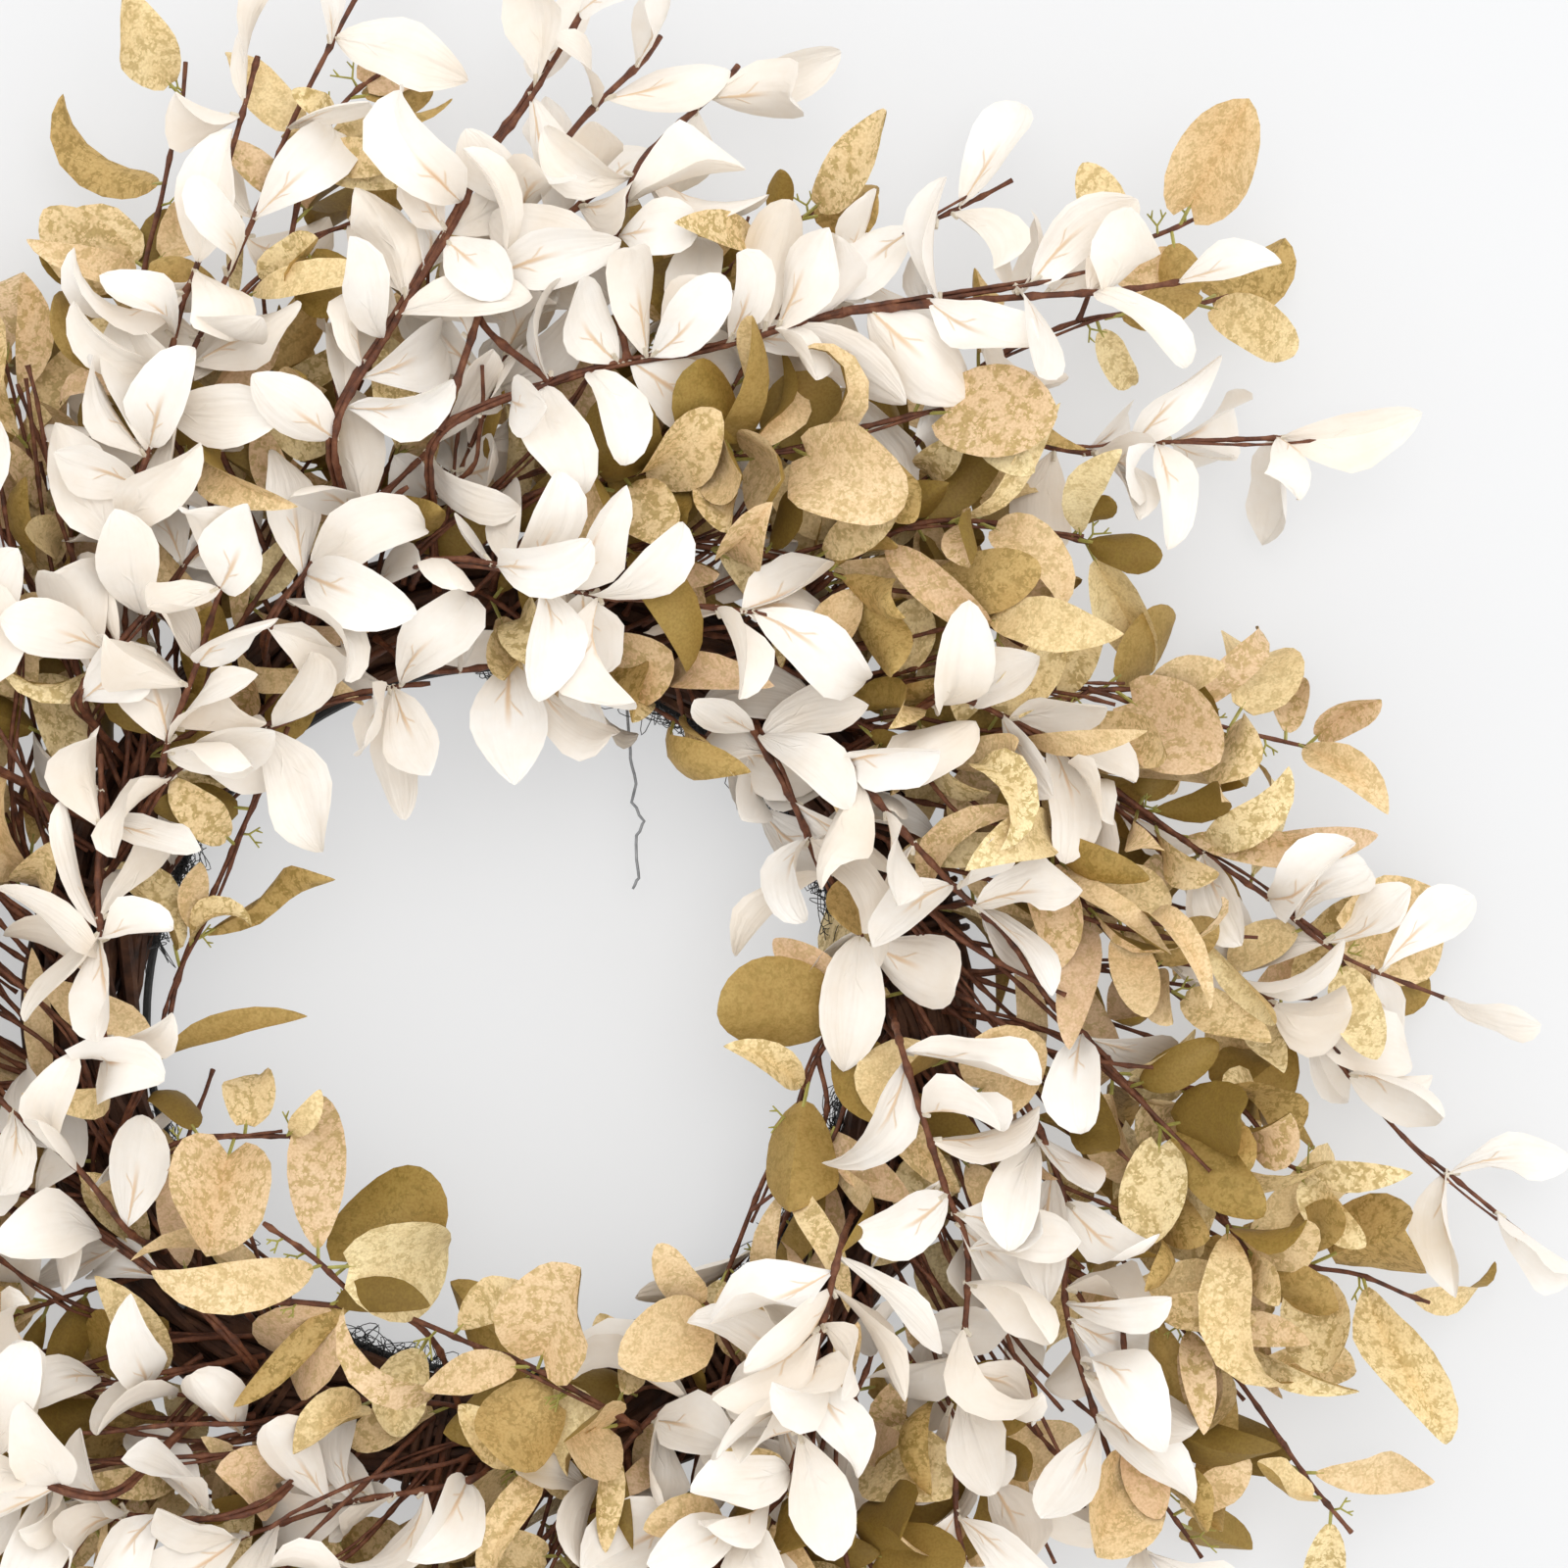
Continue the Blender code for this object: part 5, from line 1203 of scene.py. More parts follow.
def add_leaf(draft, root, name, own, leaves, drawn=False):
    leaf = solve_leaf(draft, root, name, own, crowd, SMALL_TRIES)
    if leaf is None:
        return
    if not drawn and not in_reach(leaf):
        return
    points, faces = leaf.solid(BLADE)
    crowd.add(name, points, faces)
    own.add(name, points, faces)
    leaves.append(leaf)


def narrow_leaves(name, stems, paths, turn, own, leaves):
    draw = random.Random(f"{SEED} {name} narrow")
    narrowest = NARROWEST_TURNED if turn else NARROWEST
    for path, (level, _, drawn, rows) in zip(paths, stems):
        if path is None:
            continue
        seen_part = drawn_share(path, Matrix.Rotation(turn, 3, "Z") @ seen(*drawn[0], level))
        for share, heading, length, width in rows:
            if abs(width) < narrowest:
                place, ahead = place_on(path, 1 - (1 - share) * seen_part)
                root = place - ahead * draw.uniform(*ROOT_SHIFT)
                colour, angle = name.split("_")[0], heading + math.degrees(turn)
                draft = draft_leaf(colour, root, angle, length, width, draw)
                add_leaf(draft, root, name, own, leaves, True)


def bolder(draft, draw):
    """The same leaf, more tipped, arched, cupped and twisted."""
    kind, length, width, heading, tilt, roll, arch, cup, twist = draft
    tilt += draw.uniform(-0.5, 0.5)
    return kind, length, width, heading, tilt, roll, 2 * arch, 1.8 * cup, 2.4 * twist


def node_leaves(name, path, own, leaves, start, end, draw, count):
    """Pairs of leaves at the nodes of a stem; every pair is turned against the one before."""
    colour = name.split("_")[0]
    whole = sum((b - a).length for a, b in zip(path, path[1:]))
    along = start * whole
    habit = draw.choice(GOLD_PAIRS)
    spread = draw.uniform(40, 70)
    while along < end * whole:
        place, ahead = place_on(path, along / whole)
        heading = math.degrees(math.atan2(ahead.y, ahead.x))
        for number in range(count):
            lengths, widths = CREAM_PAIR if colour == "cream" else draw.choice((habit, habit, GOLD_PAIRS[1]))
            side = (-1, 1, 0)[number] if count > 1 else draw.choice((-1, 1))
            length = draw.uniform(*lengths)
            width = draw.uniform(*widths) * draw.choice((1, 1, -1))
            angle = heading + side * spread + draw.uniform(-22, 22)
            bearing = math.degrees(math.atan2(place.y, place.x)) % 360
            if BARE_SIDE[0] < bearing < BARE_SIDE[1] and draw.random() < BARE_SKIP:
                continue
            draft = bolder(draft_leaf(colour, place, angle, length, width, draw), draw)
            root = place - ahead * draw.uniform(*ROOT_SHIFT)
            add_leaf(draft, root, name, own, leaves)
        along += draw.uniform(*NODE_STEP)


for name, radius, stems, turn in all_sprays():
    if name in grown:
        leaves, own = grown[name]
        narrow_leaves(name, stems, routes[name], turn, own, leaves)

# Bare stems: brown twigs with no leaves run between the sprays, from the ring outwards.
BARE_COUNT = 104
BARE_MORE = 14
BARE_LENGTH = (60.0, 150.0)
BARE_LEVEL = (26.0, 74.0)
BARE_LEAN = (30.0, 90.0)
BARE_STEM = 0.95
BARE_LIFT = 9.0
BARE_TRIES = 12
BARE_TWIN = 0.3
TWIG_GAP = 0.2
TWIG_SINK = 1.6
SECTORS = 8


def sector(degrees):
    return int(degrees % 360 / 360 * SECTORS) + 1


def twig_path(draw, angle, length, heading, end_level, lift):
    """A twig pushed into the ring at an angle: it rises, then bows towards its tip."""
    start = polar(RING_RADIUS + draw.uniform(-13, 16), angle, draw.uniform(26, 40))
    foot, normal, _, _ = ring.find_nearest(start)
    way = Vector((math.cos(heading), math.sin(heading), 0))
    bow = Vector((-way.y, way.x, 0)) * draw.uniform(-10, 6)
    top = foot + normal * lift + way * length * 0.3
    top.z = max(top.z, 0.5 * (top.z + end_level))
    middle = foot + way * length * 0.65 + bow
    middle.z = (top.z + end_level) / 2
    end = foot + way * length
    end.z = end_level
    return smooth_path([foot + normal * TWIG_SINK, top, middle, end], STEM_STEP / 2)


bare = {}
draw = random.Random(f"{SEED} bare")
for number in range(BARE_COUNT + BARE_MORE):
    degrees = 360.0 * number / BARE_COUNT + draw.uniform(-2, 2)
    if number >= BARE_COUNT:
        degrees = draw.uniform(*BARE_SIDE)
    angle = math.radians(degrees)
    for _ in range(BARE_TRIES):
        heading = angle - math.radians(draw.uniform(*BARE_LEAN))
        length, level = draw.uniform(*BARE_LENGTH), draw.uniform(*BARE_LEVEL)
        path = twig_path(draw, angle, length, heading, level, BARE_LIFT)
        if not crowd.blocked(*sleeve(path, BARE_STEM, TWIG_GAP)):
            name = f"bare_stems_{sector(degrees)}"
            add_stem(crowd, name, path, BARE_STEM)
            bare.setdefault(name, []).append(path)
            break
for name, radius, stems, turn in all_sprays():
    if name in grown:
        leaves, own = grown[name]
        draw = random.Random(f"{SEED} {name} nodes")
        for path in routes[name]:
            if path:
                pair = 1 if name.startswith("cream") and not turn else 2
                node_leaves(name, path, own, leaves, NODE_START, 1.0 if turn else NODE_END, draw, pair)

# Under layer: short sprigs of both colours are pushed into the ring between the sprays. They fill
# it out from below and lean out of it clockwise, as the sprays do.
UNDER_COUNT = 230
UNDER_CREAM = 0.14
UNDER_LENGTH = (60.0, 135.0)
UNDER_LEVEL = (8.0, 60.0)
UNDER_LEAN = (15.0, 80.0)
UNDER_INWARD = (95.0, 130.0)
UNDER_STEM = 0.9
UNDER_LIFT = 6.0
UNDER_TRIES = 8
UNDER_START = 0.25
UNDER_SKIP = 0.5
THREES_SHARE = 0.5
INWARD_SHARE = 0.2
INWARD_LENGTH = 0.55

under = {}
draw = random.Random(f"{SEED} under")
for number in range(UNDER_COUNT):
    degrees = 360.0 * number / UNDER_COUNT + draw.uniform(-2, 2)
    angle = math.radians(degrees)
    colour = "cream" if draw.random() < UNDER_CREAM else "gold"
    name = f"{colour}_under_{sector(degrees)}"
    inward = draw.random() < INWARD_SHARE
    if BARE_SIDE[0] < degrees % 360 < BARE_SIDE[1] and draw.random() < UNDER_SKIP:
        continue
    for _ in range(UNDER_TRIES):
        heading = angle - math.radians(draw.uniform(*(UNDER_INWARD if inward else UNDER_LEAN)))
        length = draw.uniform(*UNDER_LENGTH) * (INWARD_LENGTH if inward else 1.0)
        path = twig_path(draw, angle, length, heading, draw.uniform(*UNDER_LEVEL), UNDER_LIFT)
        if not crowd.blocked(*sleeve(path, UNDER_STEM, TWIG_GAP)):
            break
    else:
        continue
    add_stem(crowd, name, path, UNDER_STEM)
    twigs, leaves, own = under.setdefault(name, ([], [], Crowd()))
    twigs.append(path)
    add_stem(own, name, path, UNDER_STEM)
    node_leaves(name, path, own, leaves, UNDER_START, 1.0, draw, 3 if draw.random() < THREES_SHARE else 2)

# Finished leaves: a leaf is a thin blade with a rounded rim, drawn to its full outline, waved at
# its edge and curled at its tip. Cream ones are soft foam with a moulded rib. Gold ones are
# printed cloth on a green stalk.
FINE_ROWS = tuple(0.5 - 0.5 * math.cos(math.pi * step / 11) for step in range(1, 11))
FINE_ACROSS = (-1.0, -0.5, 0.0, 0.5, 1.0)
STALK_SHARE = {"cream": 0.0, "lance": 0.06, "ovate": 0.15, "round": 0.17}
FINE_FORMS = {
    "cream": ((0.9, 0.66), (0.8, 0.78), (1.15, 0.58), (1.0, 0.62), (0.75, 0.6)),
    "lance": ((0.75, 0.85), (0.7, 0.7)),
    "ovate": ((0.55, 0.66), (0.5, 0.55), (0.6, 0.6)),
    "round": ((0.5, 0.5), (0.46, 0.52)),
}
FINE_WIDTH = {"cream": (0.8, 1.1), "lance": (0.9, 1.1), "ovate": (0.92, 1.06), "round": (0.96, 1.06)}
NOTCH = {"cream": 0.0, "lance": 0.0, "ovate": 0.02, "round": 0.1}
TIP_CURL = {"cream": (-1.5, 1.3), "lance": (-1.9, 1.2), "ovate": (-1.3, 1.1), "round": (-0.6, 0.6)}
SIDE_BOW = {"cream": 0.09, "lance": 0.15, "ovate": 0.07, "round": 0.03}
UNEVEN = {"cream": (0.03, 0.09), "lance": (0.01, 0.05), "ovate": (0.01, 0.05), "round": (0.01, 0.04)}
MORE_TWIST = {"cream": 0.9, "lance": 1.5, "ovate": 0.9, "round": 0.5}
CURL_FROM = 0.4
CURL_STEPS = 24
WILDNESS = ((1.0, 1.0), (0.65, 1.0), (0.35, 1.0), (0.0, 1.0), (0.4, 0.8), (0.0, 0.7), (0.0, 1.0))
CLEAR_ROWS = 2
LOWEST = 0.4
EDGE_WAVE = (0.06, 0.36)
EDGE_RIPPLE = (3.5, 8.0)
MIDDLE_FOLD = (0.0, 0.52)
BLADE_THICK = 0.8
STALK_SIDES = 4
STALK_SINK = 0.6
STALK_END = 0.06
STALK_WIDE = 0.6
SLEEVE_SIDES = 5
SLEEVE_SINK = 0.8
SLEEVE_LONG = 4.0
SLEEVE_WIDE = 0.95
LEAF_SMOOTH = 62
BARK, FACE, BACK, STALK = range(4)


class Sheaf:
    """The points and faces of one spray, with its map across a blade and each leaf's own tone."""

    def __init__(self, name):
        self.name = name
        self.points, self.faces, self.looks, self.places, self.tones = [], [], [], [], []

    def add(self, points, faces, look, places=None, tone=0.5):
        start = len(self.points)
        self.points += [Vector((point.x, point.y, max(point.z, LOWEST))) for point in points]
        self.faces += [tuple(start + corner for corner in face) for face in faces]
        self.looks += look if isinstance(look, list) else [look] * len(faces)
        self.places += places or [(0.0, 0.0)] * len(points)
        self.tones += [tone] * len(points)

    def piece(self, name, looks):
        mesh = bpy.data.meshes.new(name)
        mesh.from_pydata([placed(point) for point in self.points], [], self.faces)
        for look in looks:
            mesh.materials.append(look)
        mesh.polygons.foreach_set("material_index", self.looks)
        corners = np.empty(len(mesh.loops), dtype=np.int32)
        mesh.loops.foreach_get("vertex_index", corners)
        blade_map = mesh.uv_layers.new(name="blade")
        blade_map.data.foreach_set("uv", np.array(self.places, dtype=np.float32)[corners].ravel())
        tone = mesh.attributes.new("tone", "FLOAT", "POINT")
        tone.data.foreach_set("value", np.array(self.tones, dtype=np.float32))
        result = bpy.data.objects.new(name, mesh)
        bpy.context.scene.collection.objects.link(result)
        pick(result)
        bpy.ops.object.shade_smooth_by_angle(angle=math.radians(LEAF_SMOOTH))
        return result


def form_at(form, share):
    """Half width of a finished blade: its two powers set how blunt its root and its tip are."""
    root, tip = form
    widest = root / (root + tip)
    return (share / widest) ** root * ((1 - share) / (1 - widest)) ** tip


def curled_line(curl):
    """How a blade's middle line runs: ahead, towards its face, and turned, as shares and an angle."""
    ahead = up = 0.0
    line = [(0.0, 0.0, 0.0)]
    for step in range(CURL_STEPS):
        angle = curl * max(0.0, ((step + 0.5) / CURL_STEPS - CURL_FROM) / (1 - CURL_FROM)) ** 1.4
        ahead += math.cos(angle) / CURL_STEPS
        up += math.sin(angle) / CURL_STEPS
        line.append((ahead, up, angle))
    return line


class Blade:
    """The finished form of a leaf: its curl, waves, bow and uneven rim, all scaled by its wildness."""

    def __init__(self, leaf, draw):
        kind = leaf.kind
        self.leaf = leaf
        self.stalk = STALK_SHARE[kind]
        self.curl = draw.uniform(*TIP_CURL[kind]) * draw.choice((0.5, 1.0, 1.0))
        self.wave = draw.uniform(*EDGE_WAVE), draw.uniform(*EDGE_RIPPLE), draw.uniform(0, ANY_PHASE)
        self.cup = leaf.cup * draw.uniform(0.9, 1.5)
        self.fold = math.copysign(draw.uniform(*MIDDLE_FOLD) ** 2 * 3, self.cup)
        self.form = draw.choice(FINE_FORMS[kind])
        self.wide = draw.uniform(*FINE_WIDTH[kind])
        self.twist = leaf.twist, draw.uniform(-MORE_TWIST[kind], MORE_TWIST[kind])
        self.bow = draw.uniform(-SIDE_BOW[kind], SIDE_BOW[kind])
        self.rim = [(draw.uniform(*UNEVEN[kind]), draw.uniform(6, 13), draw.uniform(0, ANY_PHASE))
                    for _ in range(2)]
        self.tame(1.0)

    def tame(self, wildness):
        self.wild = wildness
        self.leaf.twist = self.twist[0] + wildness * self.twist[1]
        self.line = curled_line(self.curl * wildness)

    def point(self, form_share, across):
        """A place on the blade's middle layer, and the way its face looks there."""
        leaf = self.leaf
        share = self.stalk + (1 - self.stalk) * form_share
        number = min(int(share * CURL_STEPS), CURL_STEPS - 1)
        part = share * CURL_STEPS - number
        along, up, angle = (a + (b - a) * part for a, b in zip(self.line[number], self.line[number + 1]))
        face, side = leaf.frame(share)
        onward = leaf.ahead * math.cos(angle) + face * math.sin(angle)
        facing = face * math.cos(angle) - leaf.ahead * math.sin(angle)
        size, rate, phase = self.rim[across > 0]
        half = leaf.half * self.wide * form_at(self.form, form_share)
        half *= 1 + self.wild * size * math.sin(rate * form_share + phase)
        lift = leaf.arch * leaf.long * 4 * share * (1 - share) + self.cup * half * abs(across) ** 1.6
        lift += self.wild * self.fold * half * abs(across)
        size, rate, phase = self.wave
        lift += self.wild * size * half * across ** 2 * math.sin(rate * form_share + phase + across)
        bow = self.wild * self.bow * leaf.long * 4 * share * (1 - share)
        back = NOTCH[leaf.kind] * abs(across) * max(0.0, 1 - 2.2 * form_share)
        place = leaf.root + (leaf.ahead * along + face * up) * leaf.long - onward * back * leaf.long
        return place + facing * lift + side * (half * across + bow), facing

    def sheet(self):
        """The blade beyond its root as one thin sheet, for clearance tests."""
        points = [self.point(share, across)[0] for share in FINE_ROWS[CLEAR_ROWS::2] for across in (-1, 0, 1)]
        points.append(self.point(1.0, 0.0)[0])
        faces = []
        for row in range(0, len(points) - 4, 3):
            for side in (row, row + 1):
                faces += [(side, side + 1, side + 4), (side, side + 4, side + 3)]
        last = len(points) - 1
        return points, faces + [(last - 3, last - 2, last), (last - 2, last - 1, last)]


def finished_leaf(sheaf, leaf, draw):
    """Adds a leaf in the wildest form that stays clear, and its stalk or sleeve."""
    blade = Blade(leaf, draw)
    whole = leaf.long
    for wildness, share in WILDNESS:
        leaf.long = whole * share
        blade.tame(wildness)
        outline = blade.sheet()
        if min(point.z for point in outline[0]) > 2 * LOWEST and not finished.blocked(*outline):
            break
    finished.add(sheaf, *outline)
    under_side = leaf.cup < 0
    points, places = [], []

    def add(form_share, across, shift=0.0):
        place, face = blade.point(form_share, across)
        points.append(place + face * shift)
        places.append((0.5 + 0.5 * across, form_share))
        return len(points) - 1

    root = add(0.0, 0.0)
    tops, bottoms = [], []
    for share in FINE_ROWS:
        top, bottom = [], []
        for across in FINE_ACROSS:
            if abs(across) == 1.0:
                corner = add(share, across)
                top.append(corner)
                bottom.append(corner)
            else:
                thick = BLADE_THICK / 2 * (1 - abs(across) ** 3)
                top.append(add(share, across, thick))
                bottom.append(add(share, across, -thick))
        tops.append(top)
        bottoms.append(bottom)
    tip = add(1.0, 0.0)
    faces, looks = [], []
    for rows, upper in ((tops, True), (bottoms, False)):
        sheet = [(root, b, a) for a, b in zip(rows[0], rows[0][1:])]
        for first, second in zip(rows, rows[1:]):
            sheet += [(first[k], first[k + 1], second[k + 1], second[k]) for k in range(len(first) - 1)]
        sheet += [(a, b, tip) for a, b in zip(rows[-1], rows[-1][1:])]
        if not upper:
            sheet = [(face[0], *reversed(face[1:])) for face in sheet]
        faces += sheet
        looks += [FACE if upper != under_side else BACK] * len(sheet)
    sheaf.add(points, faces, looks, places, draw.random())
    if leaf.kind == "cream":
        stalk = [leaf.root - leaf.ahead * SLEEVE_SINK, leaf.root + leaf.ahead * SLEEVE_LONG * 0.5,
                 leaf.root + leaf.ahead * SLEEVE_LONG]
        sheaf.add(*tube_mesh(stalk, SLEEVE_WIDE, 0.8 * SLEEVE_WIDE, SLEEVE_SIDES), STALK)
    else:
        end, _ = blade.point(STALK_END, 0.0)
        stalk = [leaf.root - leaf.ahead * STALK_SINK, leaf.root.lerp(end, 0.5), end]
        sheaf.add(*tube_mesh(stalk, STALK_WIDE, STALK_WIDE, STALK_SIDES), STALK)


# Green forks: little forked shoots of soft green plastic stand at some nodes of the gold sprays.
FORK_LONG = (4.0, 8.0)
FORK_WIDE = 0.5
FORK_NODES = (0.55, 0.8, 1.0)


def green_fork(sheaf, place, way, draw):
    long = draw.uniform(*FORK_LONG)
    knee = place + way * long * 0.5
    for side in (-1, 1):
        aside = way.cross(Vector((0, 0, 1))).normalized() * side
        tip = knee + (way * 0.6 + aside * draw.uniform(0.3, 0.8)) * long
        sheaf.add(*tube_mesh([place, knee, tip], FORK_WIDE, 0.55 * FORK_WIDE, STALK_SIDES), STALK)
        twiglet = [knee.lerp(tip, 0.6), tip + (way * 0.3 - aside * 0.5) * long * 0.5]
        sheaf.add(*tube_mesh(twiglet, 0.8 * FORK_WIDE, 0.4 * FORK_WIDE, STALK_SIDES), STALK)


# Finished stems: the brown bark has a small knob at each node and a bare tip. Many stems are
# doubled by a thinner twig that winds along them, and the thickest are bundles of thin ones.
STEM_FINE = 3.2
BARK_SIDES = 6
BARK_TAPER = 0.26
BARK_UNEVEN = (0.93, 1.07)
KNOB_STEPS = (4, 6)
KNOB_SIZE = (1.2, 1.6)
TIP_LONGS = (9.0, 6.0, 3.0, 1.2)
TWIN_AWAY = 2.1
TWIN_WIDE = 0.62
TWIN_WIND = 0.18
TWIN_FROM = 12
TWIN_SHARE = 0.6
BUNDLE_FROM = 1.4
BUNDLE_SIZE = 0.56
BUNDLE_AWAY = 0.62
BUNDLE_WIND = 0.07
BUNDLE_TWIGS = 3
BUNDLE_SHORTER = 5
finished = Crowd()


def bark_tube(sheaf, path, radius, draw, twin):
    """A stem with its bare tip: one twig, a twig and its twin, or a bundle of three."""
    route = smooth_path(path, STEM_FINE)
    if len(route) < 3:
        return
    ahead = (route[-1] - route[-2]).normalized()
    drop = draw.uniform(-0.15, 0.15)
    way = ahead + Vector((drop, -drop, 0))
    for long in TIP_LONGS:
        tip = tube_mesh([route[-1], route[-1] + way * (long + 1)], radius, radius, STEM_SIDES)
        if not crowd.blocked(*split(*tip), skip=(sheaf.name,)):
            break
    route += [route[-1] + way * long * step / 3 for step in (1, 2, 3)]
    strands = [(route, radius)]
    if radius > BUNDLE_FROM:
        strands = []
        for strand in range(BUNDLE_TWIGS):
            wound = []
            for number, place in enumerate(route):
                turn = 2 * math.pi * strand / BUNDLE_TWIGS + BUNDLE_WIND * number
                way = Vector((math.cos(turn), math.sin(turn), math.sin(turn + 2)))
                wound.append(place + way * BUNDLE_AWAY * radius)
            strands.append((wound[:len(wound) - BUNDLE_SHORTER * strand], BUNDLE_SIZE * radius))
    elif twin and len(route) > TWIN_FROM:
        first, last = draw.randint(0, 4), len(route) - draw.randint(4, 8)
        phase = draw.uniform(0, ANY_PHASE)
        wound = []
        for number in range(first, last):
            turn = phase + TWIN_WIND * number
            wound.append(route[number] + Vector((math.cos(turn), math.sin(turn), 0.6)) * TWIN_AWAY)
        strands.append((wound, TWIN_WIDE * radius))
    for strand, size in strands:
        bark_strand(sheaf, strand, size, draw)
    finished.add(sheaf, *split(*tube_mesh(route[::3] + route[-1:], radius, STEM_TAPER * radius, STEM_SIDES)))


def bark_strand(sheaf, route, radius, draw):
    """One twig of uneven thickness, with a knob at every few steps."""
    knob = draw.randint(*KNOB_STEPS)
    sizes = []
    for number in range(len(route)):
        size = radius * (1.0 - BARK_TAPER * number / len(route)) * draw.uniform(*BARK_UNEVEN)
        if number % knob == 0:
            size *= draw.uniform(*KNOB_SIZE)
        sizes.append(size)
    sheaf.add(*swept(route, sizes, BARK_SIDES), BARK, None, draw.random())


STEM_BROWNS = ((0.3, (0.05, 0.014, 0.004)), (0.5, (0.13, 0.037, 0.013)), (0.75, (0.25, 0.098, 0.043)))
stem_look = plain("stem", 0.6, 220.0, STEM_BROWNS, *BARK_RELIEF)

# Leaf looks: cream foam with a moulded tan rib, and cloth printed with a gold crackle, which is
# darker on its back. A cream leaf sits in a clear sleeve, a gold one on a green stalk. Every leaf
# has its own tone, and its rib follows the map of its blade.
WHITE = (1.0, 1.0, 1.0)
RIB_TAN = (0.74, 0.49, 0.26, 1.0)
RIB_BRANCHES = ((0.2, 1.0), (0.31, -1.0))
CREASE_STRETCH = (7.0, 1.6, 1.0)
CREASE_SHIFT = 90.0
PRINT_CYCLE = 0.17
PRINT_WANDER = 0.0055


def eased(tree, start, end, low=0.0, high=1.0):
    """A soft step from low to high between a start and an end."""
    return node(tree, "ShaderNodeMapRange", interpolation_type="SMOOTHSTEP", From_Min=start, From_Max=end,
                To_Min=low, To_Max=high)


def tinting(tree):
    """One colour, input 6, multiplied by another, input 7."""
    made = node(tree, "ShaderNodeMix", data_type="RGBA", blend_type="MULTIPLY")
    made.inputs[0].default_value = 1.0
    return made


def rib_group():
    """The moulded rib of a leaf: a line from its root with a short branch on each side."""
    group = new_group("leaf_rib", (), ("Mask",))
    out = group.nodes.new("NodeGroupOutput")
    blade = node(group, "ShaderNodeUVMap", uv_map="blade")
    parts = group.nodes.new("ShaderNodeSeparateXYZ")
    middle = maths(group, "SUBTRACT", 0.5)
    away = maths(group, "ABSOLUTE")
    main = eased(group, 0.008, 0.065, 1.0, 0.0)
    fade = eased(group, 0.3, 0.62, 0.8, 0.0)
    line = maths(group, "MULTIPLY")
    link(group, [
        ((blade, "UV"), (parts, "Vector")), ((parts, "X"), (middle, 0)), ((middle, 0), (away, 0)),
        ((away, 0), (main, "Value")), ((parts, "Y"), (fade, "Value")),
        ((main, "Result"), (line, 0)), ((fade, "Result"), (line, 1)),
    ])
    last = line
    for start, sign in RIB_BRANCHES:
        slope = maths(group, "MULTIPLY", 0.75 * sign)
        below = maths(group, "SUBTRACT")
        offset = maths(group, "SUBTRACT", start)
        apart = maths(group, "ABSOLUTE")
        thin = eased(group, 0.0, 0.026, 0.6, 0.0)
        sided = maths(group, "MULTIPLY", sign)
        reach = node(group, "ShaderNodeMapRange", From_Min=0.16, From_Max=0.2, To_Min=1.0, To_Max=0.0)
        right = maths(group, "GREATER_THAN", 0.0)
        first = maths(group, "MULTIPLY")
        second = maths(group, "MULTIPLY")
        most = maths(group, "MAXIMUM")
        link(group, [
            ((middle, 0), (slope, 0)), ((parts, "Y"), (below, 0)), ((slope, 0), (below, 1)),
            ((below, 0), (offset, 0)), ((offset, 0), (apart, 0)), ((apart, 0), (thin, "Value")),
            ((middle, 0), (sided, 0)), ((sided, 0), (reach, "Value")), ((sided, 0), (right, 0)),
            ((thin, "Result"), (first, 0)), ((reach, "Result"), (first, 1)),
            ((first, 0), (second, 0)), ((right, 0), (second, 1)),
            ((last, 0), (most, 0)), ((second, 0), (most, 1)),
        ])
        last = most
    link(group, [((last, 0), (out, "Mask"))])
    return group


RIB = rib_group()


def toned(tree, stops):
    """Each leaf's own colour, from its tone."""
    tone = node(tree, "ShaderNodeAttribute", attribute_name="tone")
    colours = ramp(tree, *stops)
    link(tree, [((tone, "Fac"), (colours, "Fac"))])
    return tone, colours


